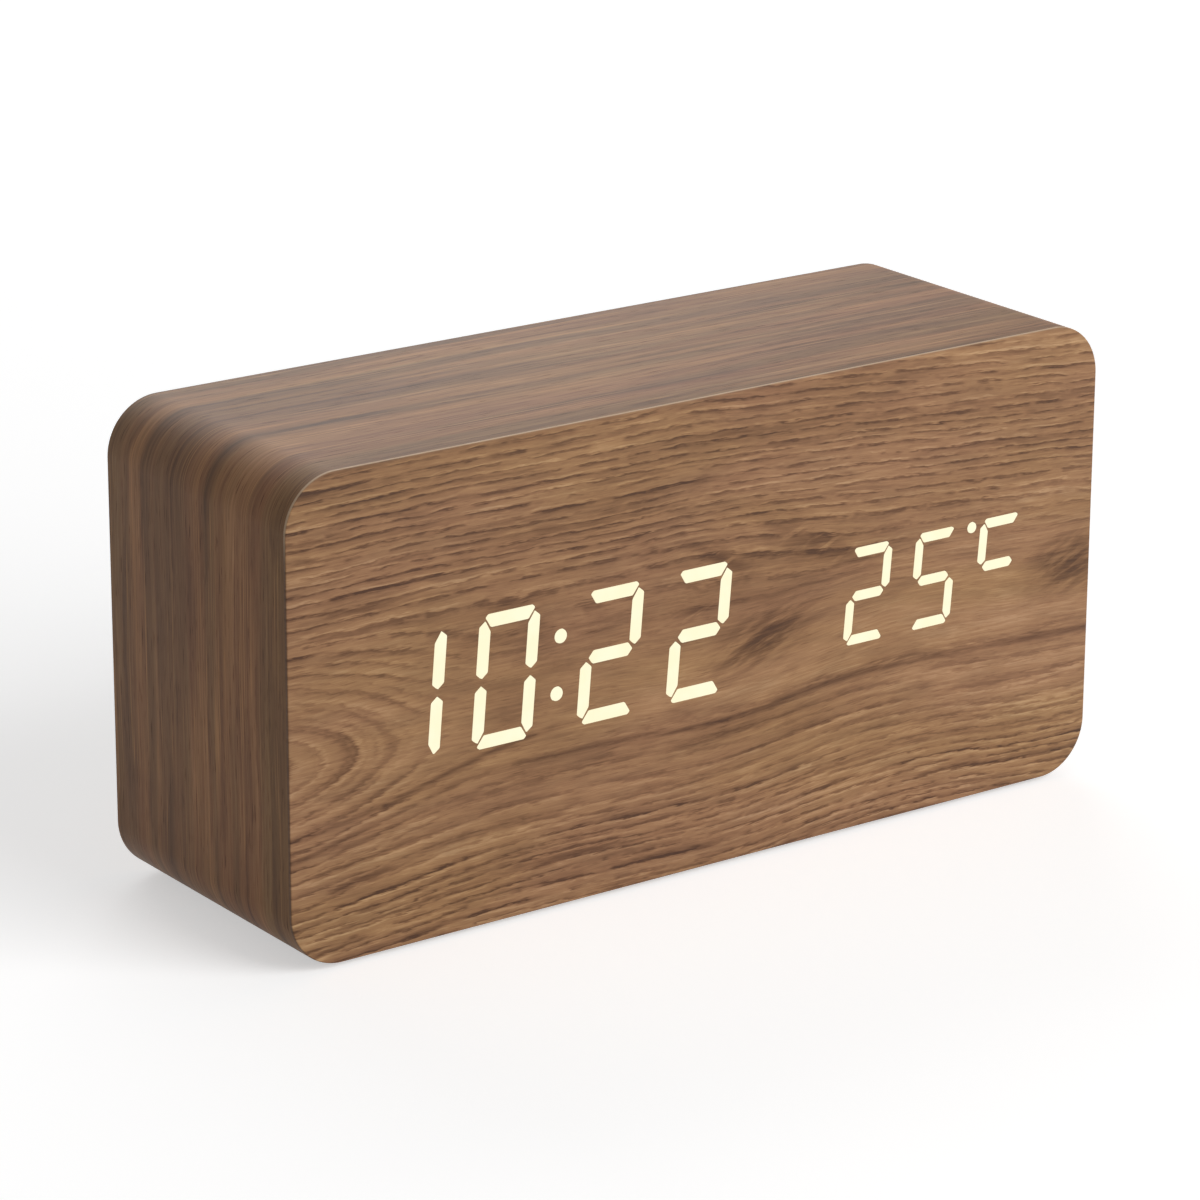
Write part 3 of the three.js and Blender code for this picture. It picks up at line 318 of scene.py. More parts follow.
# The print's noises: changes per millimetre along the grain, changes per millimetre across it,
# layer, detail and roughness.
GRAIN_NOISES = {
    "tremble": (0.3, 0.5, 71.0, 2.0, 0.5),
    "feather": (0.3, 2.6, 83.0, 2.0, 0.6),
    "broad": (0.022, 0.2, 23.0, 3.0, 0.6),
    "cloud": (0.07, 0.35, 29.0, 3.0, 0.6),
    "pore": (0.3, 4.0, 43.0, 1.5, 0.5),
    "fibre": (0.22, 6.0, 57.0, 3.0, 0.7),
    "streak": (0.13, 2.1, 67.0, 2.5, 0.6),
    "warmth": (0.015, 0.06, 91.0, 2.0, 0.5),
}
LINE_LENGTH, DASH_LENGTH = 16.0, 6.0
FEATHER = 1.1
SMOKE_DEPTH = 0.32


def growth_lines(graph, along, across, pitch, length, layer):
    """Dark broken lines and their pale rims. Length is the usual length of an unbroken piece.
    The ring value goes from 0 to 1 between a line and the next, and falls off at its end."""
    wander = graph.noise_at(along * 0.012, across * 0.13, layer)
    ring = (across / pitch + wander * 2.4).fraction()
    fall = ring.step(0.88, 1.0, 1.0, 0.0)
    shade = ring.step(0.25, 0.9) * fall
    core = ring.step(0.62, 0.88) * fall
    gap = graph.noise_at(along / length, across * 0.9 / pitch, layer + 5.0, 2.5, 0.6)
    whole = gap.step(0.38, 0.54)
    return (shade * 0.4 + core * 0.6) * whole, ring.bell(0.1, 0.1) * whole


graph, given = start_group(
    "wood_grain",
    {
        "Along": 0.0,
        "Across": 0.0,
        "Fibres": 0.0,
        "Layer": 0.0,
        "Tone": 0.6,
        "Bands": 0.7,
        "Line pitch": 2.3,
        "Lines": 0.3,
        "Dash pitch": 1.4,
        "Dashes": 0.3,
        "Tremble": 0.6,
        "Pores": 0.08,
        "Smoke": 0.0,
    },
    {"Color": tuple, "Height": float, "Gloss": float},
)
along, across, fibres, layer = (given[name] for name in ("Along", "Across", "Fibres", "Layer"))


def mark(name, crosswise):
    """One of the print's noises, stretched along the grain."""
    rate_along, rate_across, own_layer, detail, roughness = GRAIN_NOISES[name]
    spot = (along * rate_along, crosswise * rate_across, layer + own_layer)
    return graph.noise_at(*spot, detail, roughness)


shake = (mark("tremble", across) - 0.5) * given["Tremble"]
shaken = across + shake + (mark("feather", fibres) - 0.5) * FEATHER
line, line_rim = growth_lines(graph, along, shaken, given["Line pitch"], LINE_LENGTH, layer)
dash, dash_rim = growth_lines(graph, along, shaken, given["Dash pitch"], DASH_LENGTH, layer + 11.0)
lines = line * given["Lines"] + dash * given["Dashes"]
rims = line_rim * given["Lines"] + dash_rim * given["Dashes"]
pore = mark("pore", fibres).step(0.62, 0.72)
fibre = mark("fibre", fibres)

tone = given["Tone"] + (mark("broad", across) - 0.5) * given["Bands"] - lines + rims * 0.4
tone = tone - pore * given["Pores"] + (fibre - 0.5) * 0.36 + (mark("streak", fibres) - 0.5) * 0.5
colour = graph.ramp(tone - given["Smoke"] * SMOKE_DEPTH, WOOD_TONES)
cloud = mark("cloud", fibres).step(0.4, 0.68)
colour = graph.mix(cloud * 0.5, colour, plain(222, 222, 224), "MULTIPLY")
warmth = mark("warmth", fibres).step(0.38, 0.62)
warm_tint = graph.mix(warmth, plain(255, 250, 248), plain(255, 253, 240))
end_group(
    graph,
    Color=graph.mix(1.0, colour, warm_tint, "MULTIPLY"),
    Height=fibre * 0.3 - pore * 0.4 - lines * 0.3,
    Gloss=pore * 0.1 + fibre * 0.08 + 0.48,
)
print("wood grain nodes", len(graph.tree.nodes))

# %% [markdown]
# ## The figure of the front
#
# The front is cut close to the heart of the board. Its growth lines close in a half knot at the
# left edge. From there they run in long level arcs below the time, and above it they are tight
# and dip a little to the right. One formula gives all of that: the distance from a middle line,
# plus a term that grows to the right of the knot, under one root. Lines of equal value close
# into loops where that term rises, and lie far apart along the middle, which stays calm. Dark
# patches and two long lines are laid over it as smoke, which is a value that only darkens.

# %% The front figure group
FIGURE_OUTPUTS = ("Along", "Across", "Fibres", "Smoke", "Lines", "Dashes", "Tone")
MIDDLE_LINE = 32.5
# Dark patches: middle across, half width, slope, height, half height, darkness.
EYES = [(9.5, 8.5, 0.25, 33.0, 4.0, 2.1), (71.0, 7.0, 0.0, 36.0, 4.4, 2.0)]
SMUDGES = [
    (1.5, 5.0, -0.5, 50.3, 1.2, 1.3),
    (20.0, 9.0, -0.42, 57.0, 2.2, 1.0),
    (-3.5, 4.0, 0.0, 42.0, 0.9, 1.0),
]

graph, given = start_group(
    "front_figure", {"Place": Vector()}, {label: float for label in FIGURE_OUTPUTS}
)
x, y, z = graph.in_mm(given["Place"])
sway = graph.noise_at(x * 0.025, z * 0.05, 3.0)
ripple = graph.noise_at(x * 0.1, z * 0.25, 9.0)

# The rings, and the middle line that they lie about.
upper = z.step(34.0, 50.0)
dip = graph.math("MAXIMUM", x + 6.0, 0.0) * upper * 0.07
rise = (x.bell(37.0, 24.0) * 2.0 - x.bell(2.0, 16.0) * 0.8) * upper.flipped()
away = z - (rise - dip + MIDDLE_LINE)
spread = x.step(-82.0, -34.0, 0.0, 150.0) * z.step(42.0, 54.0, 1.0, 0.0)
bend = sway * 2.0 + ripple * 0.6
rings = (away * away + spread + 1.0).root() + bend

# How strong the lines and the dashes are, and how pale the wood is, at each place.
busy = (away.bell(0.0, 9.0) * 0.7 * x.step(-62.0, -48.0)).flipped()
heart = x.step(-76.0, -66.0, 0.8, 0.0) * away.bell(0.0, 6.0)
lines = z.step(24.0, 44.0, 0.3, 0.14) + x.step(-64.0, -50.0, 0.12, 0.0)
dashes = z.step(40.0, 54.0, 0.18, 0.42) + z.step(6.0, 20.0, 0.26, 0.0)
golden = z.bell(28.5, 3.5) * x.step(-50.0, -20.0)
tone = z.step(30.0, 56.0, 0.63, 0.565) + x.step(0.0, 60.0) * 0.08 + golden * 0.06


def patches(rows):
    """The sum of soft slanting patches."""
    humps = [
        x.bell(middle, width) * (z - x * slope).bell(height, half_height) * dark
        for middle, width, slope, height, half_height, dark in rows
    ]
    total = humps[0]
    for hump in humps[1:]:
        total = total + hump
    return total


curl = graph.noise_at(x * 0.12, (z - x * 0.34) * 0.6, 17.0, 3.0, 0.6)
smoke = patches(EYES) * curl.step(0.34, 0.6, 0.26, 1.0) + patches(SMUDGES) * curl.step(0.36, 0.5)
long_place = x.step(-80.0, -38.0, 17.6, 24.4) - x.bell(2.0, 14.0) * 1.2 + x.bell(34.0, 22.0) * 1.6
long_line = (z - long_place - ripple * 0.5).bell(0.0, 0.65) * x.step(-25.0, 5.0, 0.8, 1.5)
left_place = x.step(-80.0, -24.0, 20.6, 29.0)
left_line = (z - left_place - ripple * 0.5).bell(0.0, 0.5) * x.step(-30.0, -20.0, 1.0, 0.0)
broken = graph.noise_at(x * 0.09, z * 0.8, 23.0, 3.0, 0.6).step(0.3, 0.55, 0.4, 1.1)
end_group(
    graph,
    Along=x,
    Across=rings,
    Fibres=away + bend,
    Smoke=smoke + (long_line + left_line) * broken,
    Lines=lines * busy * heart.flipped(),
    Dashes=dashes * busy,
    Tone=tone,
)
print("front figure nodes", len(graph.tree.nodes))

# %% Paint the front foil
FOIL_EMBOSS, EMBOSS_STRENGTH = 0.00004, 0.4
# The cut edge of the foil shows its paper, but its colour is painted light: a pale painted
# highlight along the top of the clock, where the edge catches the light, and dark brown painted
# shade below.
CUT_START, CUT_END = 0.04, 0.16
HIGHLIGHT_START, HIGHLIGHT_END = 60.0, 71.0


def finish_foil(graph, shader, colour, grain, shine):
    """Gives a shader the print, its gloss and its faint emboss. Shine is the specular level."""
    finish_shader(
        graph,
        shader,
        Base_Color=colour,
        Roughness=grain["Gloss"],
        Specular_IOR_Level=shine,
        Normal=graph.bump(grain["Height"], FOIL_EMBOSS, EMBOSS_STRENGTH),
    )


foil_front, graph, shader = start_material("wood_foil_front")
place = graph.object_place()
figure = use(graph, "front_figure", Place=place)
grain = use(graph, "wood_grain", Layer=1.0, Tremble=0.35, Pores=0.16, **figure)
depth, height_up = graph.in_mm(place)[1:]
front_face_depth = box_of("front_foil")[0].y
cut_edge = depth.step(front_face_depth + CUT_START, front_face_depth + CUT_END)
# Painted highlight on the cut edge along the top of the clock, painted shade on the rest of it.
pale = height_up.step(HIGHLIGHT_START, HIGHLIGHT_END)
cut_edge_light_and_shade = graph.mix(pale, plain(92, 66, 48), plain(206, 178, 148))
finish_foil(graph, shader, graph.mix(cut_edge * 0.8, grain["Color"], cut_edge_light_and_shade), grain, 0.25)
print("painted", foil_front.name)

# %% [markdown]
# ## The striped foil of the wrap
#
# The strip round the sides is printed with straight, quarter-cut figure: bands of warm and of
# greyish brown a few millimetres wide, with thin amber veins and short dark pores. The veins are
# a contour line of a stretched noise, which gives a hair of even width that wanders as a real
# vein does. The pattern lies in the UV map of the strip, so it turns the corners with it.

# %% Paint the wrap
foil_wrap, graph, shader = start_material("wood_foil_wrap")
u, v = graph.in_mm(graph.node("UVMap", {"uv_map": "unrolled"}).outputs[0])[:2]
across = v + graph.noise_at(u * 0.012, v * 0.05, 5.0) * 4.0
grain = use(
    graph,
    "wood_grain",
    Along=u * 0.7,
    Across=across,
    Fibres=across,
    Layer=4.0,
    Tone=0.6,
    Bands=1.0,
    Line_pitch=4.5,
    Lines=0.2,
    Dash_pitch=1.1,
    Dashes=0.07,
    Tremble=0.12,
    Pores=0.45,
)
band = graph.noise_at(u * 0.005, across * 0.21, 25.0).step(0.42, 0.58)
band_tint = graph.mix(band, plain(255, 246, 238), plain(216, 213, 206))
colour = graph.mix(1.0, grain["Color"], band_tint, "MULTIPLY")
vein = graph.noise_at(u * 0.006, across * 0.8, 35.0).bell(0.5, 0.012)
vein_part = graph.noise_at(u * 0.03, across * 0.3, 45.0).step(0.42, 0.56)
colour = graph.mix(vein * vein_part * 0.7, colour, plain(190, 142, 96))
finish_foil(graph, shader, colour, grain, 0.15)
print("painted", foil_wrap.name)

# %% [markdown]
# ## Flat shapes, walls and caps
#
# Nearly every part of a clock like this is cut or moulded from a flat outline: the foil on the
# front, the back panel, the lit segments, the rim of the battery bay. So three small steps make
# them all. An outline is drawn once and its corners are rounded with a vertex bevel. Rings of
# that outline are set at several depths and bridged into a wall, where a few closely spaced
# rings give a rounded edge. A cap then fills the end, and leaves the holes open.

# %% Outlines
CORNER_STEPS = 24
HOLE_STEPS = 48
SAME_SPOT = 0.0005


def rounded(points, radius=0.0, steps=CORNER_STEPS):
    """The (across, up) points of a flat shape in millimetres, with its corners rounded. The
    radius is one for all corners, or a list with one for each."""
    radii = radius if isinstance(radius, list) else [radius] * len(points)
    sketch = bmesh.new()
    corners = [sketch.verts.new((a, 0.0, b)) for a, b in points]
    sketch.faces.new(corners)
    for size in dict.fromkeys(radii):
        if size:
            bmesh.ops.bevel(
                sketch,
                geom=[corner for corner, own in zip(corners, radii) if own == size],
                offset=size,
                offset_type="OFFSET",
                segments=steps,
                profile=0.5,
                affect="VERTICES",
                material=-1,
            )
    bmesh.ops.remove_doubles(sketch, verts=sketch.verts[:], dist=SAME_SPOT)
    sketch.faces.ensure_lookup_table()
    ring = [(v.co.x, v.co.z) for v in sketch.faces[0].verts]
    sketch.free()
    return ring


def rectangle(low, high, inset=0.0):
    """The corners of a rectangle between two (across, up) points, drawn in by an inset."""
    (left, bottom), (right, top) = low, high
    left, bottom, right, top = left + inset, bottom + inset, right - inset, top - inset
    return [(left, bottom), (right, bottom), (right, top), (left, top)]


def circle(a, b, radius, steps=HOLE_STEPS):
    """The points of a circle about (a, b)."""
    sketch = bmesh.new()
    bmesh.ops.create_circle(sketch, segments=steps, radius=radius)
    ring = [(a + v.co.x, b + v.co.y) for v in sketch.verts]
    sketch.free()
    return ring


print("a quarter turn has", CORNER_STEPS, "steps")

# %% Rings, walls and caps
EDGE_STEPS = 4


def ring_at(bm, points, depth, lying=False):
    """A closed ring of edges, in millimetres, at a depth along Y, or at a height if it is lying."""
    places = [(a, b, depth) if lying else (a, depth, b) for a, b in points]
    corners = [bm.verts.new(Vector(place) * MM) for place in places]
    return [bm.edges.new((corners[i - 1], corners[i])) for i in range(len(corners))]


def wall(bm, rings):
    """Bridges rings in turn, and returns the first and the last of them."""
    for near, far in zip(rings, rings[1:]):
        bmesh.ops.bridge_loops(bm, edges=near + far)
    return rings[0], rings[-1]


def cap(bm, *rings):
    """Fills the first ring, and leaves the others in it open. Two rings at one level are
    joined this way too, because bridging flat rings can turn one over."""
    bmesh.ops.triangle_fill(bm, edges=[edge for ring in rings for edge in ring], use_beauty=True)


def block(bm, rings):
    """A wall with both its ends filled."""
    for end in wall(bm, rings):
        cap(bm, end)


def eased(edge):
    """The stations of a rounded edge from the face to the side: how far each is drawn in from
    the side, and how deep it lies below the face."""
    turns = [math.radians(90) * i / EDGE_STEPS for i in range(EDGE_STEPS + 1)]
    return [(edge * (1 - math.sin(turn)), edge * (1 - math.cos(turn))) for turn in turns]


def edge_rings(bm, low, high, radius, depth, inwards, edge):
    """Rings of a rounded rectangle that turn a rounded edge, from the face to the side.
    inwards is 1 or -1, the way along Y from the face into the body."""
    rings = []
    for drawn_in, sunk in eased(edge):
        outline = rounded(rectangle(low, high, drawn_in), radius - drawn_in)
        rings.append(ring_at(bm, outline, depth + inwards * sunk))
    return rings


print("a rounded edge has", EDGE_STEPS, "steps")

# %% Turn a finished mesh into a piece
SMOOTH_ANGLE = math.radians(35)
FINISHES = {}


def piece(bm, name, body, slot, replaced=(), material=None):
    """Makes an object of a mesh that is in place, puts it on the body it rides on and hides the
    solids that it stands for.
    Its material is the finish of its slot, unless another is given."""
    bmesh.ops.recalc_face_normals(bm, faces=bm.faces[:])
    mesh = bpy.data.meshes.new(name)
    bm.to_mesh(mesh)
    bm.free()
    mesh.polygons.foreach_set("use_smooth", [True] * len(mesh.polygons))
    mesh.set_sharp_from_angle(angle=SMOOTH_ANGLE)
    made = bpy.data.objects.new(name, mesh)
    scene_objects.link(made)
    made.data.materials.append(material or FINISHES[slot])
    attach(made, body)
    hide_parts(*replaced)
    print(name, len(mesh.polygons), "faces")


# %% Read outlines from a solid
TOLERANCE = 1e-6
LEVEL_TOLERANCE = 5e-6
FLAT_TURN = 0.01


def lies_at(part, axis, level):
    """Whether a face or an edge lies at a level, in millimetres, along an axis from 0 to 2."""
    return all(abs(v.co[axis] - level * MM) < LEVEL_TOLERANCE for v in part.verts)


def merged(node):
    """A copy of a solid's loose triangles, joined at their corners."""
    bm = bmesh.new()
    bm.from_mesh(nodes[node].data)
    bmesh.ops.remove_doubles(bm, verts=bm.verts[:], dist=TOLERANCE)
    return bm


def flat_faces(bm):
    """Dissolves the edges inside flat faces."""
    bmesh.ops.dissolve_limit(bm, angle_limit=FLAT_TURN, verts=bm.verts[:], edges=bm.edges[:])


def outlines_of(node, level):
    """The closed outlines, in millimetres, of a solid's flat face at a depth along Y."""
    bm = merged(node)
    beside = [face for face in bm.faces if not lies_at(face, 1, level)]
    bmesh.ops.delete(bm, geom=beside, context="FACES")
    flat_faces(bm)
    ahead = {}
    for edge in bm.edges:
        if len(edge.link_loops) == 1:
            loop = edge.link_loops[0]
            ahead[loop.vert] = loop.link_loop_next.vert
    rings = []
    while ahead:
        start, here = ahead.popitem()
        ring = [start]
        while here is not start:
            ring.append(here)
            here = ahead.pop(here)
        rings.append([(v.co.x / MM, v.co.z / MM) for v in ring])
    bm.free()
    return rings


def span(ring, axis):
    """The lowest and highest value of a ring along an axis, 0 or 1."""
    values = [point[axis] for point in ring]
    return min(values), max(values)


def holes_of(node, level):
    """The outlines of the holes in a sheet: all but the widest outline, which is its rim."""
    rings = outlines_of(node, level)
    return sorted(rings, key=lambda ring: span(ring, 0)[0] - span(ring, 0)[1])[1:]


print("holes in the back foil", len(holes_of("back_foil", box_of("back_foil")[1].y)))

# %% [markdown]
# ## The front foil and its windows
#
# On the real clock the segments seem to glow through the wood. Here the foil is open at each
# lit segment, and the opal sheet behind fills it flush. The windows are read from the solid, so
# they sit exactly where the CAD has them. Their corners get a tiny radius, as a punched film
# has, and the dots become true circles.

# %% Cut the front foil
low, high = box_of("front_foil")
CASE_LOW, CASE_HIGH = (low.x, low.z), (high.x, high.z)
FRONT, FRONT_BACK = low.y, high.y
CASE_RADIUS = 8.6
FRONT_EDGE = 0.22
SEGMENT_RADIUS = 0.16
SEGMENT_CORNERS = 6
SEGMENT_STEPS = 3


def softened(ring):
    """A segment with its corners eased, or a dot as a true circle."""
    if len(ring) <= SEGMENT_CORNERS:
        return rounded(ring, SEGMENT_RADIUS, SEGMENT_STEPS)
    (left, right), (bottom, top) = span(ring, 0), span(ring, 1)
    return circle((left + right) / 2, (bottom + top) / 2, (top - bottom) / 2)


def foil_sheet(name, node, material, low, high, radius, face, back, edge, holes):
    """A sheet of foil with an eased rim and open holes. Face and back are depths along Y."""
    bm = bmesh.new()
    rim = edge_rings(bm, low, high, radius, face, 1 if back > face else -1, edge)
    behind = ring_at(bm, rounded(rectangle(low, high), radius), back)
    face_edge, back_edge = wall(bm, rim + [behind])
    walls = [wall(bm, [ring_at(bm, hole, face), ring_at(bm, hole, back)]) for hole in holes]
    cap(bm, face_edge, *[near for near, far in walls])
    cap(bm, back_edge, *[far for near, far in walls])
    piece(bm, name, "clock", "wood_foil", [node], material)


windows = [softened(ring) for ring in holes_of("front_foil", FRONT)]
foil_sheet(
    "front_face", "front_foil", foil_front,
    CASE_LOW, CASE_HIGH, CASE_RADIUS, FRONT, FRONT_BACK, FRONT_EDGE, windows,
)
print("windows", len(windows))

# %% [markdown]
# ## The lit segments
#
# Each group of digits is one opal sheet whose segments stand up into the windows. It glows a
# warm cream. A plain Principled shader with some emission is enough. The cream wavers very
# little over the sheet, so that the digits don't look printed.

# %% Light the segments
OPAL_BODY = (0.12, 0.115, 0.09)
GLOW = 0.9

opal, graph, shader = start_material("opal_plastic_lit")
cloud = graph.noise(graph.object_place(), scale=260.0)
cream = graph.mix(cloud.step(0.3, 0.7), plain(255, 245, 205), plain(255, 248, 213))
finish_shader(
    graph,
    shader,
    Base_Color=OPAL_BODY,
    Roughness=0.35,
    Emission_Color=cream,
    Emission_Strength=GLOW,
)


def light_sheet(node, name):
    """The opal sheet of one group: its segments reach the face, and the sheet lies behind."""
    sheet_back = box_of(node)[1].y
    border = rounded(outlines_of(node, sheet_back)[0])
    bm = bmesh.new()
    behind, shoulder = wall(bm, [ring_at(bm, border, sheet_back), ring_at(bm, border, FRONT_BACK)])
    cap(bm, behind)
    feet = []
    for pad in [softened(ring) for ring in outlines_of(node, FRONT)]:
        foot, top = wall(bm, [ring_at(bm, pad, FRONT_BACK), ring_at(bm, pad, FRONT)])
        cap(bm, top)
        feet.append(foot)
    cap(bm, shoulder, *feet)
    piece(bm, name, "clock", "opal_plastic", [node], opal)


light_sheet("time_diffuser", "time_digits")
light_sheet("temperature_diffuser", "temperature_digits")

# %% [markdown]
# ## The wrapped foil
#
# One strip of foil goes round the four sides, so its grain runs round the corners without a
# break. It is a tube of rings: the front edge, the rear edge, a lip turned in over the rear
# rim, and the inner side. A UV map named unrolled says how far round the case each point is,
# as if the strip were laid flat again, and the grain follows it. Object coordinates would smear
# the pattern on the corners.

# %% Bend the wrap
low, high = box_of("wrap_foil")
WRAP_FRONT, WRAP_BACK = low.y, high.y
FOIL = 0.5
RIM_LOW, RIM_HIGH, RIM_RADIUS = (-71.4, 4.4), (71.4, 71.4), 5.0
REAR_EDGE = 0.5

bm = bmesh.new()
outer_front = ring_at(bm, rounded(rectangle(CASE_LOW, CASE_HIGH), CASE_RADIUS), WRAP_FRONT)
rear_rings = edge_rings(bm, CASE_LOW, CASE_HIGH, CASE_RADIUS, WRAP_BACK, -1, REAR_EDGE)
rim = rounded(rectangle(RIM_LOW, RIM_HIGH), RIM_RADIUS)
lip = [ring_at(bm, rim, WRAP_BACK - turned_over) for turned_over in (0, FOIL)]
inside = rounded(rectangle(CASE_LOW, CASE_HIGH, FOIL), CASE_RADIUS - FOIL)
inner = [ring_at(bm, inside, level) for level in (WRAP_BACK - FOIL, WRAP_FRONT)]
wall(bm, [outer_front, *reversed(rear_rings)])
wall(bm, lip)
wall(bm, inner)
for outer_edge, hole_edge in ((rear_rings[0], lip[0]), (inner[0], lip[1]), (outer_front, inner[1])):
    cap(bm, outer_edge, hole_edge)
bmesh.ops.recalc_face_normals(bm, faces=bm.faces[:])
print("wrap", len(bm.faces), "faces")

# %% Open the wrap for the battery bay
BAY_FIT = 0.15
BAY_RADIUS = 2.0
bay_low, bay_high = box_of("battery_box")
bay_floor = rectangle((bay_low.x, bay_low.y), (bay_high.x, bay_high.y), -BAY_FIT)


def open_floor(bm, level):
    """Fills the flat floor at a height anew, round the hole of the battery bay."""
    floor = [face for face in bm.faces if lies_at(face, 2, level)]
    border = list({edge for face in floor for edge in face.edges})
    bmesh.ops.delete(bm, geom=floor, context="FACES_ONLY")
    hole = ring_at(bm, rounded(bay_floor, BAY_RADIUS), level, lying=True)
    cap(bm, border, hole)
    return hole


wall(bm, [open_floor(bm, level) for level in (CASE_LOW[1], CASE_LOW[1] + FOIL)])
print("wrap", len(bm.faces), "faces")

# %% [markdown]
# ## The strip laid flat
#
# The ends of a real strip meet where nobody looks. Here they meet under the middle of the case,
# where the battery bay hides most of the seam. A cut through the mesh at x = 0 keeps any face
# from having one corner at the start of the pattern and one at its end.

# %% Lay the wrap's pattern flat
STRAIGHT_ACROSS = CASE_HIGH[0] - CASE_RADIUS
STRAIGHT_UP = (CASE_HIGH[1] - CASE_LOW[1]) / 2 - CASE_RADIUS
CASE_MIDDLE = (CASE_HIGH[1] + CASE_LOW[1]) / 2
QUARTER = math.radians(90) * CASE_RADIUS
RIGHT_TOP = STRAIGHT_ACROSS + QUARTER + 2 * STRAIGHT_UP
LEFT_TOP = RIGHT_TOP + 2 * QUARTER + 2 * STRAIGHT_ACROSS
ALL_ROUND = LEFT_TOP + 2 * STRAIGHT_UP + QUARTER + STRAIGHT_ACROSS


def way_round(middle, spot):
    """How far round the case a spot is, from under its middle and by the right-hand side.
    The middle of its face says which side or corner of the case it belongs to."""
    across, up = spot.x / MM, spot.z / MM - CASE_MIDDLE
    side_across, side_up = middle.x / MM, middle.z / MM - CASE_MIDDLE
    level_side = abs(side_across) <= STRAIGHT_ACROSS
    if not level_side and abs(side_up) > STRAIGHT_UP:
        turn = math.atan2(abs(up) - STRAIGHT_UP, abs(across) - STRAIGHT_ACROSS) * CASE_RADIUS
        if side_across > 0:
            return RIGHT_TOP + turn if side_up > 0 else STRAIGHT_ACROSS + QUARTER - turn
        return LEFT_TOP - turn if side_up > 0 else LEFT_TOP + 2 * STRAIGHT_UP + turn
    if level_side and side_up > 0:
        return RIGHT_TOP + QUARTER + STRAIGHT_ACROSS - across
    if level_side:
        return across if side_across > 0 else ALL_ROUND + across
    if side_across > 0:
        return RIGHT_TOP - STRAIGHT_UP + up
    return LEFT_TOP + STRAIGHT_UP - up


def turned_in(spot):
    """How far a spot lies in from the outer skin, which is how far the foil is turned over."""
    beyond_across = max(abs(spot.x / MM) - STRAIGHT_ACROSS, 0.0)
    beyond_up = max(abs(spot.z / MM - CASE_MIDDLE) - STRAIGHT_UP, 0.0)
    return CASE_RADIUS - math.hypot(beyond_across, beyond_up)


everything = bm.verts[:] + bm.edges[:] + bm.faces[:]
bmesh.ops.bisect_plane(bm, geom=everything, plane_co=(0.0, 0.0, 0.0), plane_no=(1.0, 0.0, 0.0))
unrolled = bm.loops.layers.uv.new("unrolled")
for face in bm.faces:
    middle = face.calc_center_median()
    for loop in face.loops:
        spot = loop.vert.co
        loop[unrolled].uv = (way_round(middle, spot) * MM, spot.y + turned_in(spot) * MM)
piece(bm, "case_wrap", "clock", "wood_foil", ["wrap_foil"], foil_wrap)

# %% [markdown]
# ## Lathed pieces and where they stand
#
# Buttons, feet, cells and screws are turned shapes. A profile of radius and height is spun round
# the upright axis, and the finished mesh is then laid so that its top faces the way it should:
# out of the back for a button, down for a foot.

# %% Spin a profile
LATHE_STEPS = 48
POLE_TOLERANCE = 1e-7
TO_THE_BACK = Matrix.Rotation(math.radians(-90), 4, "X")
DOWNWARDS = Matrix.Rotation(math.radians(180), 4, "X")


def lathe(profile, steps=LATHE_STEPS):
    """A mesh of (radius, height) points, in millimetres, spun round the upright axis."""
    bm = bmesh.new()
    corners = [bm.verts.new((radius * MM, 0.0, height * MM)) for radius, height in profile]
    lines = [bm.edges.new(pair) for pair in zip(corners, corners[1:])]
    bmesh.ops.spin(
        bm,
        geom=corners + lines,
        cent=(0.0, 0.0, 0.0),
        axis=(0.0, 0.0, 1.0),
        angle=math.radians(360),
        steps=steps,
        use_merge=True,
    )
    bmesh.ops.remove_doubles(bm, verts=bm.verts[:], dist=POLE_TOLERANCE)
    return bm


def arc(radius, height, bend, start, end, steps=5):
    """Profile points on an arc about (radius, height), between two angles in degrees."""
    turns = [math.radians(start + (end - start) * i / steps) for i in range(steps + 1)]
    return [(radius + bend * math.cos(turn), height + bend * math.sin(turn)) for turn in turns]


def placed(bm, x, y, z, turn):
    """Turns a mesh and moves it to a place in millimetres."""
    bm.transform(Matrix.Translation(Vector((x, y, z)) * MM) @ turn)


print("a lathed piece has", LATHE_STEPS, "sides")

# %% [markdown]
# ## Finishes of the moulded and metal parts
#
# Moulded plastic is never quite one colour: it has a fine spark-eroded skin and faint flow marks.
# Metal has drawn lines. One group makes both from two noises, and each material gives it its own
# colours, scale and stretch.

# %% The skin group
graph, given = start_group(
    "fine_skin",
    {
        "Place": Vector(),
        "Dark": (0.1, 0.1, 0.1),
        "Pale": (0.2, 0.2, 0.2),
        "Speckle size": 3000.0,
        "Cloud size": 120.0,
        "Gloss": 0.5,
        "Gloss spread": 0.1,
    },
    {"Color": tuple, "Gloss": float, "Height": float},
)
speckle = graph.noise(given["Place"], scale=given["Speckle size"])
cloud = graph.noise(given["Place"], scale=given["Cloud size"], detail=3.0, roughness=0.6)
colour = graph.mix((speckle * 0.4 + cloud * 0.6).step(0.3, 0.7), given["Dark"], given["Pale"])
gloss = given["Gloss"] + (cloud - 0.5) * given["Gloss spread"]
end_group(graph, Color=colour, Gloss=gloss, Height=speckle)


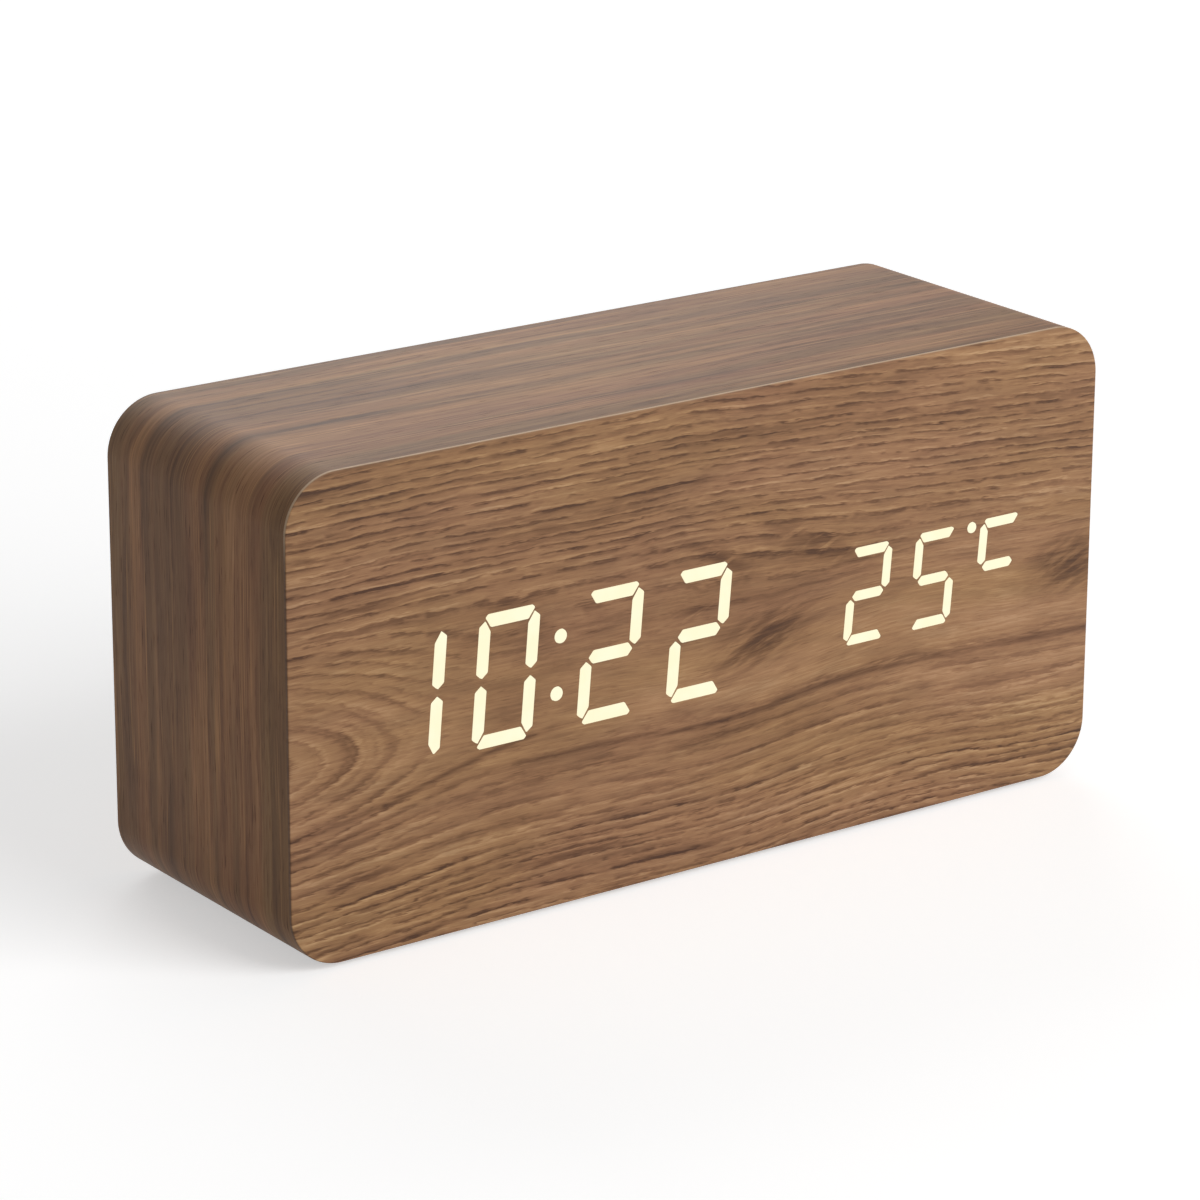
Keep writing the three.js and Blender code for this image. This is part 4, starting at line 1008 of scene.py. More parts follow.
def skin_material(
    name, dark, pale, speckle, cloud, gloss, spread=0.15, bump=0.00002, stretch=None, **constants
):
    """A material with the fine skin. Dark and pale are screen colours, and the constants are
    set on the shader's own sockets."""
    material, graph, shader = start_material(name)
    place = graph.object_place()
    if stretch:
        place = graph.node("Mapping", Vector=place, Scale=stretch).outputs[0]
    skin = use(
        graph,
        "fine_skin",
        Place=place,
        Dark=plain(*dark),
        Pale=plain(*pale),
        Speckle_size=speckle,
        Cloud_size=cloud,
        Gloss=gloss,
        Gloss_spread=spread,
    )
    relief = graph.bump(skin["Height"], bump, 0.5)
    finish_shader(
        graph, shader, Base_Color=skin["Color"], Roughness=skin["Gloss"], Normal=relief, **constants
    )
    return material


print("fine_skin", len(graph.tree.nodes), "nodes")

# %% The finishes by slot
# For each slot: name, dark, pale, speckle size, cloud size, gloss, and what is special to it.
METAL = {"Metallic": 1.0}
DRAWN = {"spread": 0.2, "stretch": (1.0, 0.15, 1.0)}
SOFT_GRIP = {"spread": 0.1, "bump": 0.00004, "Specular_IOR_Level": 0.2}
SKINS = {
    "fibreboard": ("fibreboard_sanded", (128, 96, 66), (166, 130, 94), 1400.0, 90.0, 0.85, {}),
    "black_plastic": (
        "black_plastic_moulded", (20, 20, 22), (32, 32, 34), 2600.0, 150.0, 0.46,
        {"Specular_IOR_Level": 0.3},
    ),
    "white_plastic": (
        "white_plastic_moulded", (206, 204, 196), (224, 222, 214), 2200.0, 90.0, 0.42, {}
    ),
    "chip_plastic": ("chip_plastic_matt", (22, 22, 24), (34, 34, 36), 4200.0, 200.0, 0.62, {}),
    "steel": (
        "steel_drawn", (150, 152, 156), (196, 198, 202), 1500.0, 260.0, 0.3, {**DRAWN, **METAL}
    ),
    "nickel": ("nickel_plated", (176, 172, 162), (208, 204, 194), 1800.0, 300.0, 0.24, METAL),
    "black_screw": (
        "screw_blackened", (38, 37, 38), (66, 64, 64), 2400.0, 320.0, 0.38,
        {"spread": 0.2, "Metallic": 0.85},
    ),
    "capacitor_sleeve": (
        "capacitor_sleeve_shrunk", (24, 38, 74), (34, 50, 92), 900.0, 120.0, 0.35, {}
    ),
    "bead": ("bead_glazed", (38, 34, 32), (58, 50, 44), 900.0, 200.0, 0.25, {}),
    "red_insulation": (
        "red_insulation_soft", (156, 28, 24), (178, 40, 34), 1500.0, 160.0, 0.45, {}
    ),
    "black_insulation": (
        "black_insulation_soft", (24, 24, 25), (38, 38, 39), 1500.0, 160.0, 0.45, {}
    ),
    "rubber": ("rubber_foot", (32, 32, 33), (48, 48, 49), 3400.0, 240.0, 0.8, SOFT_GRIP),
}
for slot, (*values, special) in SKINS.items():
    FINISHES[slot] = skin_material(*values, **special)
print("skins", len(FINISHES))

# %% Stripes for the ribbon: a red wire, and painted light and shade on each wire's ridge
RIBBON_PITCH = 0.9
RED_WIRE = 3.5
FINISHES["ribbon_insulation"], graph, shader = start_material("ribbon_insulation_striped")
x = graph.in_mm(graph.object_place())[0]
wire = (x / RIBBON_PITCH).fraction().bell(0.5, 0.28)
# Painted highlight on each wire's crest and painted shade in the grooves between the wires.
grey_with_painted_ridges = graph.mix(wire, plain(120, 121, 124), plain(168, 169, 172))
shade = graph.mix(x.step(RED_WIRE, RED_WIRE + 0.1), grey_with_painted_ridges, plain(150, 44, 38))
finish_shader(graph, shader, Base_Color=shade, Roughness=0.5, Normal=graph.bump(wire, 0.0001, 0.6))
print("a wire every", RIBBON_PITCH, "mm")

# %% Tracks for the boards
FINISHES["circuit_board"], graph, shader = start_material("circuit_board_coated")
place = graph.object_place()
x, y, z = graph.in_mm(place)
lane = graph.noise_at(x * 0.09, 0.0, z * 0.9, 1.0)
crossing = graph.noise_at(x * 0.9, 5.0, z * 0.09, 1.0)
track = graph.math("MAXIMUM", lane.bell(0.5, 0.03), crossing.bell(0.5, 0.02))
mask = graph.mix(graph.noise(place, scale=90.0, detail=3.0), plain(18, 70, 44), plain(26, 86, 54))
shade = graph.mix(track * 0.6, mask, plain(60, 128, 78))
relief = graph.bump(track, 0.00004, 0.5)
finish_shader(graph, shader, Base_Color=shade, Roughness=0.32, Normal=relief)
print("finishes", len(FINISHES))

# %% [markdown]
# ## The back
#
# The back foil is the same wood print with its grain level, on a panel let into the rim. It is
# a plate with round holes for the sound and the screws and one for the control module. Its
# figure is plainer than the front's, so it needs only a slow sway across the grain.

# %% Paint the back foil
foil_back, graph, shader = start_material("wood_foil_back")
x, y, z = graph.in_mm(graph.object_place())
across = z + graph.noise_at(x * 0.016, z * 0.04, 31.0) * 7.0
grain = use(
    graph,
    "wood_grain",
    Along=x,
    Across=across,
    Fibres=across,
    Layer=9.0,
    Tremble=0.3,
    Line_pitch=3.4,
    Lines=0.26,
    Dash_pitch=1.5,
    Dashes=0.2,
)
finish_foil(graph, shader, grain["Color"], grain, 0.25)
print("painted", foil_back.name)

# %% Cut the back foil
low, high = box_of("back_foil")
BACK, BACK_INNER = high.y, low.y
PANEL_LOW, PANEL_HIGH, PANEL_RADIUS = (low.x, low.z), (high.x, high.z), 4.75
FOIL_EDGE = 0.15
BEZEL_RADIUS = 4.0


def smooth_hole(ring):
    """A long hole with true round corners, or a round one as a true circle."""
    (left, right), (bottom, top) = span(ring, 0), span(ring, 1)
    if right - left > 2 * (top - bottom):
        return rounded(rectangle((left, bottom), (right, top)), BEZEL_RADIUS)
    return softened(ring)


openings = [smooth_hole(ring) for ring in holes_of("back_foil", BACK)]
foil_sheet(
    "back_face", "back_foil", foil_back,
    PANEL_LOW, PANEL_HIGH, PANEL_RADIUS, BACK, BACK_INNER, FOIL_EDGE, openings,
)
print("openings in the back", len(openings))

# %% [markdown]
# ## The control module
#
# One black moulding holds three buttons and the power socket. Its rim lies flush in the foil
# with a soft edge. Behind the rim a skirt runs down to the button board, with two posts for its
# screws. The holes are walled and the well has a floor, so that nothing looks like cardboard
# when a button is pressed or the socket is looked into.

# %% Find the buttons and the socket
low, high = box_of("control_bezel")
BEZEL_LOW, BEZEL_HIGH = (low.x, low.z), (high.x, high.z)
BOARD_TOP = low.y
row_height = middle_of("control_bezel").z
button_places = {name: middle_of(f"{name}_button").x for name in ("down", "up", "set")}
socket_low, socket_high = box_of("socket_shell")
socket_place = middle_of("socket_shell").x
SOCKET_WIDTH, SOCKET_HEIGHT = socket_high.x - socket_low.x, socket_high.z - socket_low.z


def pill(width, height, radius, x):
    """A rounded rectangle about a place in the row of buttons."""
    low, high = (x - width / 2, row_height - height / 2), (x + width / 2, row_height + height / 2)
    return rounded(rectangle(low, high), radius, CORNER_STEPS // 2)


print("buttons at", button_places)

# %% Mould the bezel
BEZEL_EDGE = 0.3
RIM_DEPTH = 1.0
SHOULDER = 2.5
SKIRT_RADIUS, SKIRT_WALL = 2.0, 1.2
PLATE_DEPTH = 5.6
WELL_WIDTH, WELL_HEIGHT, WELL_RADIUS, WELL_DEPTH = 12.6, 7.6, 1.0, 4.5
SOCKET_FIT = 0.15
BUTTON_RADIUS = 3.5
GUIDE_FIT = 0.2
GUIDE_EDGE = 0.25
POST_RADIUS = 2.0

bm = bmesh.new()
rim_rings = edge_rings(bm, BEZEL_LOW, BEZEL_HIGH, BEZEL_RADIUS, BACK, -1, BEZEL_EDGE)
rim_foot = ring_at(bm, rounded(rectangle(BEZEL_LOW, BEZEL_HIGH), BEZEL_RADIUS), BACK - RIM_DEPTH)
face_edge, shoulder_edge = wall(bm, rim_rings + [rim_foot])
skirt = []
for drawn_in, depths in (
    (0.0, (BACK - RIM_DEPTH, BOARD_TOP)),
    (SKIRT_WALL, (BOARD_TOP, BACK - PLATE_DEPTH)),
):
    corners = rectangle(BEZEL_LOW, BEZEL_HIGH, SHOULDER + drawn_in)
    outline = rounded(corners, SKIRT_RADIUS - drawn_in)
    skirt += wall(bm, [ring_at(bm, outline, depth) for depth in depths])
skirt_root, skirt_tip, inner_tip, plate_edge = skirt
cap(bm, shoulder_edge, skirt_root)
cap(bm, skirt_tip, inner_tip)
print("bezel", len(bm.faces), "faces")

# %% Bore the bezel
def bored(outline_of, stations):
    """Walls a hole. Its outline grows by the first number of a station, and lies as far below
    the back's face as the second says."""
    return wall(bm, [ring_at(bm, outline_of(grown), BACK - depth) for grown, depth in stations])


face_holes, plate_holes = [], []
for x in button_places.values():
    outer, inner = bored(
        lambda grown: circle(x, row_height, BUTTON_RADIUS + GUIDE_FIT + grown),
        [(GUIDE_EDGE, 0.0), (0.0, GUIDE_EDGE), (0.0, PLATE_DEPTH)],
    )
    face_holes.append(outer)
    plate_holes.append(inner)
outer, floor_edge = bored(
    lambda grown: pill(WELL_WIDTH + grown, WELL_HEIGHT + grown, WELL_RADIUS, socket_place),
    [(2 * GUIDE_EDGE, 0.0), (0.0, GUIDE_EDGE), (0.0, WELL_DEPTH)],
)
face_holes.append(outer)
slot_width, slot_height = SOCKET_WIDTH + 2 * SOCKET_FIT, SOCKET_HEIGHT + 2 * SOCKET_FIT
outer, inner = bored(
    lambda grown: pill(slot_width, slot_height, slot_height / 2, socket_place),
    [(0.0, WELL_DEPTH), (0.0, PLATE_DEPTH)],
)
cap(bm, floor_edge, outer)
plate_holes.append(inner)
for screw in ("board_screw_1", "board_screw_2"):
    post = circle(middle_of(screw).x, row_height, POST_RADIUS)
    root, tip = wall(bm, [ring_at(bm, post, BACK - PLATE_DEPTH), ring_at(bm, post, BOARD_TOP)])
    plate_holes.append(root)
    cap(bm, tip)
cap(bm, face_edge, *face_holes)
cap(bm, plate_edge, *plate_holes)
piece(bm, "rear_bezel", "clock", "black_plastic", ["control_bezel"])

# %% Turn the buttons
BUTTON_EDGE = 0.45
FLANGE_RADIUS, FLANGE_HEIGHT = 4.6, 1.0
STEM_RADIUS = 2.0
# The dish in the top, as radius and depth.
DISH = [(2.55, 0.02), (2.3, 0.08), (1.656, 0.198), (0.874, 0.279), (0.0, 0.3)]
stem, key = box_of("down_button")
flange_top = BACK - PLATE_DEPTH - GUIDE_FIT
key_profile = [
    (0.0, stem.y),
    (STEM_RADIUS, stem.y),
    (STEM_RADIUS, flange_top - FLANGE_HEIGHT),
    (FLANGE_RADIUS, flange_top - FLANGE_HEIGHT),
    (FLANGE_RADIUS, flange_top),
    (BUTTON_RADIUS, flange_top),
    *arc(BUTTON_RADIUS - BUTTON_EDGE, key.y - BUTTON_EDGE, BUTTON_EDGE, 0, 90),
    *[(radius, key.y - depth) for radius, depth in DISH],
]
for name, x in button_places.items():
    bm = lathe(key_profile)
    placed(bm, x, 0.0, row_height, TO_THE_BACK)
    piece(bm, f"{name}_key", name, "black_plastic", [f"{name}_button"])

# %% [markdown]
# ## Signs on the bezel
#
# The signs are pad-printed on the real part: a down arrow, an up arrow, SET and the socket's
# voltage. Each is a raised film of paint a few hundredths of a millimetre thick. Words are made
# as text, turned into a mesh at once and only then laid on the back, the right way round for
# someone who looks at it.

# %% Print the signs
PAINT = 0.03
SIGN_SIZE, SIGN_RISE = 2.0, 6.3
ARROW_HALF, ARROW_RISE, ARROW_CORNER = 1.15, 0.92, 0.12
LETTER_STEPS = 6
READ_FROM_BACK = Matrix(((-1, 0, 0, 0), (0, 0, 1, 0), (0, 1, 0, 0), (0, 0, 0, 1)))
sign_height = row_height + SIGN_RISE
sign_paint = skin_material("sign_paint", (196, 196, 192), (210, 210, 206), 1800.0, 200.0, 0.55)


def word(text, name, x):
    """A word as a thin film above a place in the row of buttons."""
    curve = bpy.data.curves.new(name, "FONT")
    curve.body = text
    curve.size = SIGN_SIZE * MM
    curve.extrude = PAINT * MM / 2
    curve.align_x, curve.align_y = "CENTER", "CENTER"
    curve.resolution_u = LETTER_STEPS
    holder = bpy.data.objects.new(name, curve)
    scene_objects.link(holder)
    bpy.context.view_layer.update()
    mesh = holder.evaluated_get(bpy.context.evaluated_depsgraph_get()).to_mesh()
    bm = bmesh.new()
    bm.from_mesh(mesh)
    holder.to_mesh_clear()
    bpy.data.objects.remove(holder)
    bmesh.ops.remove_doubles(bm, verts=bm.verts[:], dist=TOLERANCE)
    placed(bm, x, BACK + PAINT / 2, sign_height, READ_FROM_BACK)
    piece(bm, name, "clock", "black_plastic", (), sign_paint)


def arrow(name, x, way):
    """A printed triangle above a button that points up or down."""
    foot, tip = sign_height - way * ARROW_RISE, sign_height + way * ARROW_RISE
    outline = rounded([(x - ARROW_HALF, foot), (x + ARROW_HALF, foot), (x, tip)], ARROW_CORNER, 3)
    bm = bmesh.new()
    block(bm, [ring_at(bm, outline, BACK), ring_at(bm, outline, BACK + PAINT)])
    piece(bm, name, "clock", "black_plastic", (), sign_paint)


arrow("sign_down", button_places["down"], -1)
arrow("sign_up", button_places["up"], 1)
word("SET", "sign_set", button_places["set"])
word("5 V", "sign_socket", socket_place)

# %% [markdown]
# ## The power socket
#
# The socket is a folded steel shell round a black tongue. The shell is two pill-shaped walls
# with a rounded lip between them and a floor where the tongue stands.

# %% Fold the shell
SHELL_WALL = 0.3
SHELL_LIP = 0.1
shell_back, shell_front = socket_low.y, socket_high.y
shell_floor = box_of("socket_tongue")[0].y


def shell_wall(bm, stations):
    """A pill-shaped wall of rings, drawn in from the outside and set at depths along Y."""
    rings = []
    for drawn_in, depth in stations:
        width, height = SOCKET_WIDTH - 2 * drawn_in, SOCKET_HEIGHT - 2 * drawn_in
        rings.append(ring_at(bm, pill(width, height, height / 2, socket_place), depth))
    return wall(bm, rings)


bm = bmesh.new()
outside = [(0.0, shell_back), (0.0, shell_front - SHELL_LIP), (SHELL_LIP, shell_front)]
mouth = [(SHELL_WALL - SHELL_LIP, shell_front), (SHELL_WALL, shell_front - SHELL_LIP)]
behind, lip_edge = shell_wall(bm, outside)
mouth_edge, floor_edge = shell_wall(bm, [*mouth, (SHELL_WALL, shell_floor)])
cap(bm, behind)
cap(bm, lip_edge, mouth_edge)
cap(bm, floor_edge)
piece(bm, "socket_sleeve", "clock", "steel", ["socket_shell"])

# %% [markdown]
# ## Screws with cross recesses
#
# All screws that show are countersunk with a cross recess. The recess is cut the way a punch
# makes it, with sloping sides: a cross-shaped ring at the top is bridged to a smaller one
# below. The thread is a row of crests and roots, which is enough for something that sits in
# wood.

# %% Cut the screws
SCREW_STEPS = 32
HEAD_RIM = 0.12
THREAD_PITCH, THREAD_START, THREAD_END = 0.9, 0.5, 1.19
ROOT_SHARE = 0.8
POINT_LENGTH, POINT_RADIUS = 1.0, 0.12
# The cross in shares of the head's radius: its reach, half its arm's width and its depth. Its
# floor is half as large.
CROSS_REACH, CROSS_WIDTH, CROSS_DEPTH, CROSS_FLOOR = 0.62, 0.15, 0.42, 0.5


def cross(reach, width):
    """The outline of a cross recess: the corners of one arm, turned four times."""
    arm = [Vector(corner) for corner in ((width, width), (width, reach), (-width, reach))]
    turns = [Matrix.Rotation(math.radians(90) * quarter, 2) for quarter in range(4)]
    return [tuple(turn @ corner) for turn in turns for corner in arm]


def round_wall(bm, x, y, stations):
    """A wall about an upright line at (x, y), through (radius, height) stations."""
    rings = [(circle(x, y, radius, SCREW_STEPS), height) for radius, height in stations]
    return wall(bm, [ring_at(bm, ring, height, lying=True) for ring, height in rings])


def screw(name, node, body, axis, turn, radius, head):
    """A countersunk screw in place of a solid one. Its head's top is at the open end."""
    low, high = box_of(node)
    length = (high - low)[axis]
    top = middle_of(node)
    top[axis] = high.y if axis == 1 else low.z
    stations = [(head, 0.0), (head, -HEAD_RIM), (radius, radius - head - HEAD_RIM)]
    depth = head - radius + THREAD_START
    while depth < length - THREAD_END:
        stations += [(radius * ROOT_SHARE, -depth), (radius, -depth - THREAD_PITCH / 2)]
        depth += THREAD_PITCH
    stations += [(radius * ROOT_SHARE, POINT_LENGTH - length), (POINT_RADIUS, -length)]
    bm = bmesh.new()
    head_edge, tip = round_wall(bm, 0, 0, stations)
    recess = []
    for size, height in ((head, 0.0), (head * CROSS_FLOOR, -head * CROSS_DEPTH)):
        outline = cross(size * CROSS_REACH, size * CROSS_WIDTH)
        recess.append(ring_at(bm, outline, height, lying=True))
    recess_top, recess_floor = wall(bm, recess)
    cap(bm, head_edge, recess_top)
    cap(bm, recess_floor)
    cap(bm, tip)
    placed(bm, *top, turn)
    piece(bm, name, body, "black_screw", [node])


for i in range(1, 5):
    screw(f"panel_fixing_{i}", f"panel_screw_{i}", "clock", 1, TO_THE_BACK, 1.3, 2.8)
for i in range(1, 3):
    screw(f"box_fixing_{i}", f"box_screw_{i}", "clock", 2, DOWNWARDS, 1.0, 2.1)
screw("door_fixing", "door_screw", "door", 2, DOWNWARDS, 1.0, 2.1)

# %% [markdown]
# ## Feet
#
# The rubber pads are low lathed discs with a rolled edge and a shallow hollow, which is what
# makes such a pad grip.

# %% Turn the feet
PAD_ROLL, PAD_RIM, PAD_SLOPE, PAD_HOLLOW = 0.3, 1.2, 0.3, 0.2
PAD_STEPS = 64
for i in range(1, 5):
    low, high = box_of(f"foot_{i}")
    middle = middle_of(f"foot_{i}")
    radius, height = (high.x - low.x) / 2, high.z
    profile = [
        (0.0, 0.0),
        (radius, 0.0),
        *arc(radius - PAD_ROLL, height - PAD_ROLL, PAD_ROLL, 0, 90),
        (radius - PAD_RIM, height),
        (radius - PAD_RIM - PAD_SLOPE, height - PAD_SLOPE / 2),
        (0.0, height - PAD_HOLLOW),
    ]
    bm = lathe(profile, PAD_STEPS)
    placed(bm, middle.x, middle.y, height, DOWNWARDS)
    piece(bm, f"pad_{i}", "clock", "rubber", [f"foot_{i}"])

# %% [markdown]
# ## The battery door
#
# The door is a plate with a tongue that its screw goes through. Two hooks at the other end hold
# it and are its hinge. On the outside it has ribs for the thumb. All of it rides on the body
# called door, so it opens with the joint.

# %% Cut the door
DOOR_X, DOOR_Y, DOOR_TOP = 25.1, 17.45, 2.1
DOOR_MIDDLE = -0.5
DOOR_RADIUS, ROOT_RADIUS, TONGUE_RADIUS = 1.0, 0.4, 3.0
DOOR_EDGE = 0.25
DOOR_STEPS = 8
TONGUE_END, TONGUE_HALF = 33.4, 4.5
DOOR_SCREW = 28.9
SINK_HEAD, SINK_SHANK = 2.25, 1.15
UNDERSIDE = box_of("battery_door")[0].z


def door_outline(drawn_in):
    """The door's outline, drawn in by an amount: a plate and a tongue in one."""
    x, end = DOOR_X - drawn_in, TONGUE_END - drawn_in
    near, far = DOOR_MIDDLE - DOOR_Y + drawn_in, DOOR_MIDDLE + DOOR_Y - drawn_in
    left, right = DOOR_MIDDLE - TONGUE_HALF + drawn_in, DOOR_MIDDLE + TONGUE_HALF - drawn_in
    plate, root, tongue = DOOR_RADIUS - drawn_in, ROOT_RADIUS + drawn_in, TONGUE_RADIUS - drawn_in
    points = [(-x, near), (x, near), (x, left), (end, left)]
    points += [(end, right), (x, right), (x, far), (-x, far)]
    return rounded(points, [plate, plate, root, tongue, tongue, root, plate, plate], DOOR_STEPS)


bm = bmesh.new()
stations = [(drawn_in, UNDERSIDE + rise) for drawn_in, rise in eased(DOOR_EDGE)] + [(0.0, DOOR_TOP)]
under_edge, top_edge = wall(
    bm, [ring_at(bm, door_outline(drawn_in), level, lying=True) for drawn_in, level in stations]
)
sink_floor = UNDERSIDE + SINK_HEAD - SINK_SHANK
sink = [(SINK_HEAD, UNDERSIDE), (SINK_SHANK, sink_floor), (SINK_SHANK, DOOR_TOP)]
sink_mouth, sink_top = round_wall(bm, DOOR_SCREW, DOOR_MIDDLE, sink)
cap(bm, under_edge, sink_mouth)
cap(bm, top_edge, sink_top)
print("door plate", len(bm.faces), "faces")

# %% Add the hooks and the ribs
HOOK_PLACES = (-10.0, 10.0)
HOOK_WIDTH = 6.0
HOOK = [(-25.75, 2.3), (-24.3, 2.3), (-24.3, 2.0), (-22.3, 2.0), (-22.3, 3.2), (-25.75, 3.2)]
RIB_PITCH, RIB_WIDTH, RIB_HALF, RIB_RISE, RIB_COUNT = 1.8, 0.8, 6.0, 0.22, 6
RIB_START, RIB_ROOT, RIB_RADIUS, RIB_STEPS = 3.4, 0.1, 0.39, 6
RIB_STATIONS = [(0.0, RIB_ROOT), (0.0, -RIB_RISE / 2), (RIB_RISE / 2, -RIB_RISE)]
for place in HOOK_PLACES:
    sides = [DOOR_MIDDLE + place + way * HOOK_WIDTH / 2 for way in (-1, 1)]
    block(bm, [ring_at(bm, HOOK, side) for side in sides])
for i in range(RIB_COUNT):
    x = DOOR_X - RIB_START - i * RIB_PITCH
    low, high = (x, DOOR_MIDDLE - RIB_HALF), (x + RIB_WIDTH, DOOR_MIDDLE + RIB_HALF)
    rings = []
    for drawn_in, rise in RIB_STATIONS:
        outline = rounded(rectangle(low, high, drawn_in), RIB_RADIUS - drawn_in, RIB_STEPS)
        rings.append(ring_at(bm, outline, UNDERSIDE + rise, lying=True))
    block(bm, rings)
piece(bm, "bay_door", "door", "black_plastic", ["battery_door"])

# %% [markdown]
# ## The battery box
#
# The box is a thin-walled moulding with many slots, and its solid is right. A moulding never has
# knife edges though, so a merged copy of the solid gets a small bevel on the edges that face the
# table.

# %% Ease the box's lower edges
BOX_EDGE = 0.15
SHARP_TURN = 0.7
bm = merged("battery_box")
flat_faces(bm)
sharp = [edge for edge in bm.edges if edge.calc_face_angle(0.0) > SHARP_TURN]
lower = [edge for edge in sharp if lies_at(edge, 2, UNDERSIDE)]
bmesh.ops.bevel(
    bm,
    geom=lower,
    offset=BOX_EDGE * MM,
    segments=2,
    profile=0.5,
    affect="EDGES",
    clamp_overlap=True,
    material=-1,
)
piece(bm, "bay_box", "clock", "black_plastic", ["battery_box"])
print("eased edges", len(lower))

# %% [markdown]
# ## The cells
#
# A cell is a drawn can with a contact button, in a printed jacket that is shrunk over both ends.
# So each is two lathed pieces: the can, and the jacket that leaves the ends of the can bare. The
# jacket is printed in bands, and how far along the cell a point lies is kept with the mesh as an
# attribute called station.

# %% Print the jacket
BAND_START, BAND_END, BLUE_START = 32.9, 33.6, 34.0
PRINT_EDGE = 0.1
FINISHES["cell_jacket"], graph, shader = start_material("cell_jacket_print")
station = Signal(graph, graph.node("Attribute", {"attribute_name": "station"}).outputs["Fac"])
flow = graph.noise(graph.object_place(), scale=400.0)
blue_part = station.step(BLUE_START, BLUE_START + PRINT_EDGE)
band = station.step(BAND_START, BAND_START + PRINT_EDGE)
band = band * station.step(BAND_END, BAND_END + PRINT_EDGE, 1.0, 0.0)
ink = graph.mix(blue_part, plain(196, 198, 200), plain(38, 84, 122))
ink = graph.mix(band, ink, plain(60, 62, 66))
finish_shader(
    graph,
    shader,
    Base_Color=graph.mix(flow * 0.12, ink, (0.0, 0.0, 0.0)),
    Roughness=0.28,
    Metallic=0.35,
    Normal=graph.bump(flow, 0.00003, 0.4),
)
print("the jacket is blue from", BLUE_START, "mm")

# %% Turn the cells
CELL_RADIUS, CELL_LENGTH, NUB_RADIUS, NUB_LENGTH = 5.25, 44.5, 1.9, 0.8
SHRINK = 0.5
BODY_END = CELL_LENGTH - NUB_LENGTH
JACKET_LEVELS = (32.8, 33.8, 34.2)
JACKET_INSIDE, CAN_RADIUS = CELL_RADIUS - 0.2, CELL_RADIUS - 0.4
FOOT_HEM, TOP_HEM = CELL_RADIUS - 1.1, CELL_RADIUS - 1.3
NUB_EDGE = 0.25
jacket_profile = [
    (FOOT_HEM, 0.25),
    (FOOT_HEM, 0.0),
    *arc(CELL_RADIUS - SHRINK, SHRINK, SHRINK, -90, 0),
    *[(CELL_RADIUS, level) for level in JACKET_LEVELS],
    *arc(CELL_RADIUS - SHRINK, BODY_END - SHRINK, SHRINK, 0, 90),
    (TOP_HEM, BODY_END),
    (TOP_HEM, BODY_END - 0.2),
    (JACKET_INSIDE, BODY_END - 0.6),
    (JACKET_INSIDE, 0.6),
    (FOOT_HEM, 0.25),
]
can_profile = [
    (0.0, 0.1),
    (CELL_RADIUS - 1.0, 0.1),
    (CAN_RADIUS, 0.5),
    (CAN_RADIUS, BODY_END - 0.6),
    (CELL_RADIUS - 1.5, BODY_END - 0.3),
    (NUB_RADIUS + 0.3, BODY_END - 0.25),
    (NUB_RADIUS, BODY_END),
    *arc(NUB_RADIUS - NUB_EDGE, CELL_LENGTH - NUB_EDGE, NUB_EDGE, 0, 90),
    (0.0, CELL_LENGTH),
]
for i in range(1, 4):
    low, high = box_of(f"cell_{i}")
    middle = middle_of(f"cell_{i}")
    way = -1 if i == 2 else 1
    start = low.x if way > 0 else high.x
    turn = Matrix.Rotation(math.radians(90) * way, 4, "Y")
    for part, profile, slot in (
        ("jacket", jacket_profile, "cell_jacket"),
        ("can", can_profile, "nickel"),
    ):
        bm = lathe(profile)
        layer = bm.verts.layers.float.new("station")
        for vert in bm.verts:
            vert[layer] = vert.co.z / MM
        placed(bm, start, middle.y, middle.z, turn)
        piece(bm, f"cell_{part}_{i}", "clock", slot, [f"cell_{i}"])

# %% [markdown]
# ## Parts that keep their solid shape
#
# Boards, plugs, contacts, leads and the fibreboard are right as solids. They only need a finish,
# and they take it by the name of their material slot.

# %% Finish the remaining solids
finished = 0
for node in nodes.values():
    slot = node.material_slots[0].material.name
    if not node.hide_render and slot in FINISHES:
        node.material_slots[0].material = FINISHES[slot]
        finished += 1
print("solids with a finish", finished)

# %% [markdown]
# ## The stage and the light
#
# The photograph has a plain white ground, so the floor and the world look white to the camera
# and in reflections. For everything else the world is a soft grey, and two large lamps give the
# form: one before the clock and to its right, which leaves the left side darker, and a weaker
# one behind it. The floor keeps its shadow: it is a real surface with some light of its own.

# %% Set the stage
FLOOR_HALF = 6.0
FLOOR_GLOW = 0.5
AMBIENT = 0.2
WHITE = (1.0, 1.0, 1.0)


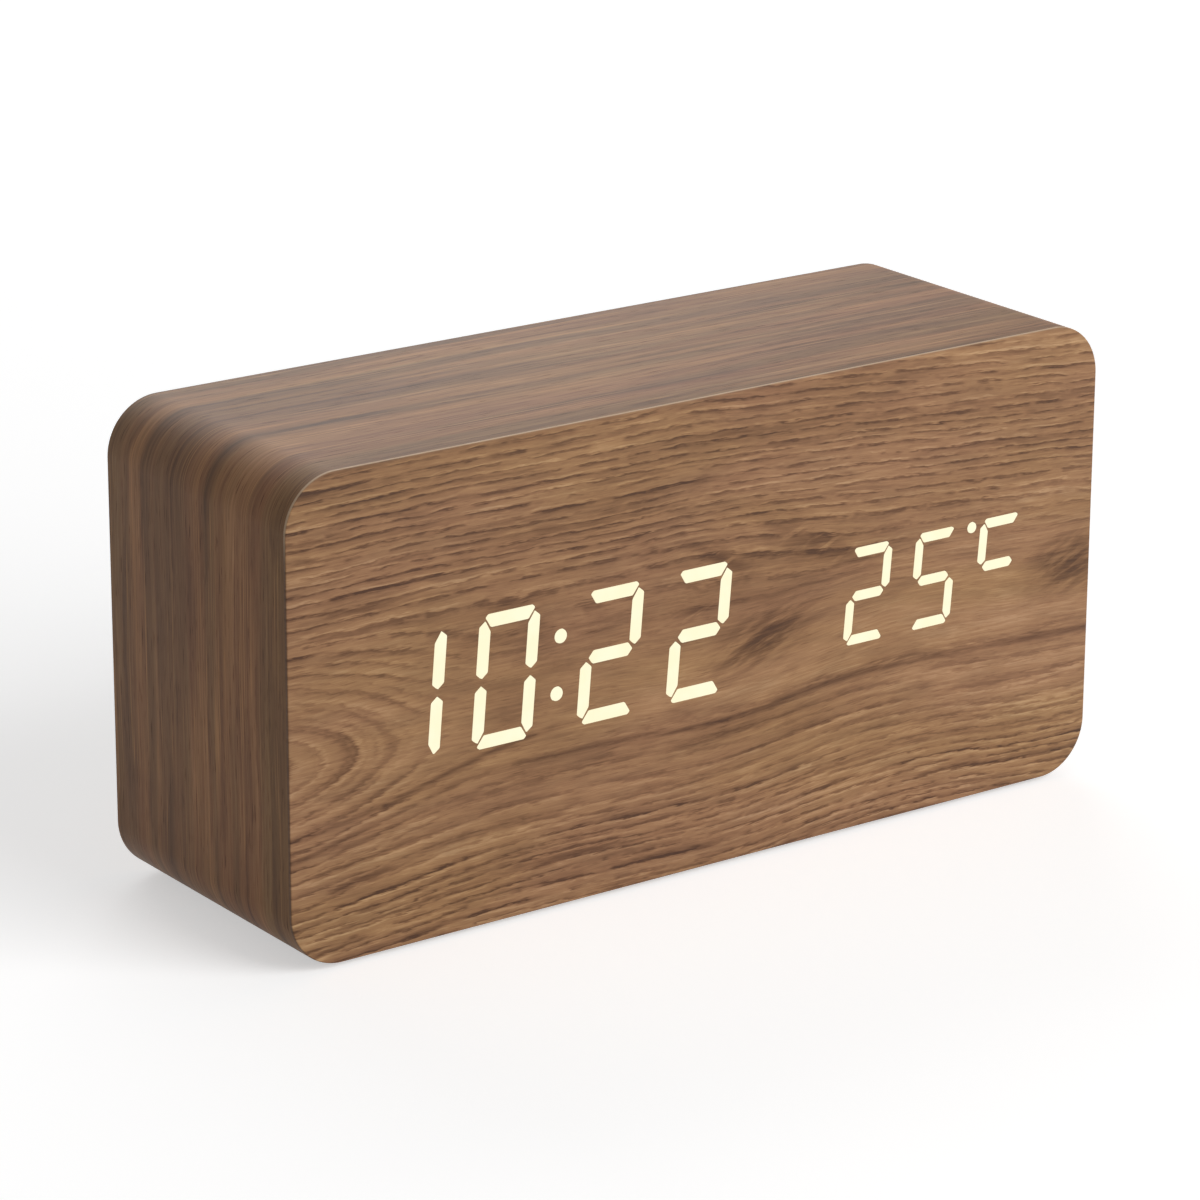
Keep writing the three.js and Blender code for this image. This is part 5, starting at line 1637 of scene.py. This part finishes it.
def seen_white(graph):
    """1 for what the camera, a reflection or a view through glass sees, and else 0."""
    rays = graph.node("LightPath").outputs
    seen = graph.math("MAXIMUM", rays["Is Camera Ray"], rays["Is Glossy Ray"])
    return graph.math("MAXIMUM", seen, rays["Is Transmission Ray"])


floor_paint, graph, shader = start_material("stage_floor")
paper = graph.noise(graph.object_place(), scale=9.0)
finish_shader(
    graph,
    shader,
    Base_Color=graph.mix(paper, plain(228, 228, 228), plain(232, 232, 232)),
    Roughness=0.9,
    Specular_IOR_Level=0.0,
    Emission_Color=WHITE,
    Emission_Strength=seen_white(graph) * FLOOR_GLOW,
)
bm = bmesh.new()
bmesh.ops.create_grid(bm, x_segments=1, y_segments=1, size=FLOOR_HALF)
mesh = bpy.data.meshes.new("floor")
bm.to_mesh(mesh)
bm.free()
mesh.materials.append(floor_paint)
floor = bpy.data.objects.new("floor", mesh)
scene_objects.link(floor)

world = bpy.data.worlds.new("studio")
bpy.context.scene.world = world
world.use_nodes = True
graph = Graph(world.node_tree)
sky_level = seen_white(graph).step(0.0, 1.0, AMBIENT, 1.0)
sky = graph.node("Background", Color=WHITE, Strength=sky_level)
graph.tree.links.new(sky.outputs[0], graph.node("OutputWorld").inputs[0])
print("floor", 2 * FLOOR_HALF, "m wide")

# %% Hang the lamps
LAMP_AWAY = 1.4
LAMP_SIZE = 1.0
LAMP_AIM = Vector((0.0, 0.0, 0.037))


def lamp(name, direction, level):
    """A square soft lamp. The level is the share of full light on a face turned towards it."""
    toward = Vector(direction).normalized()
    data = bpy.data.lights.new(name, "AREA")
    data.size = LAMP_SIZE
    data.energy = level * math.pi**2 * LAMP_AWAY**2
    hung = bpy.data.objects.new(name, data)
    scene_objects.link(hung)
    hung.location = LAMP_AIM + toward * LAMP_AWAY
    hung.rotation_mode = "QUATERNION"
    hung.rotation_quaternion = (-toward).to_track_quat("-Z", "Y")


lamp("front_lamp", (0.35, -0.8, 0.5), 0.78)
lamp("back_lamp", (0.3, 0.85, 0.52), 0.3)
print("lamps hung")
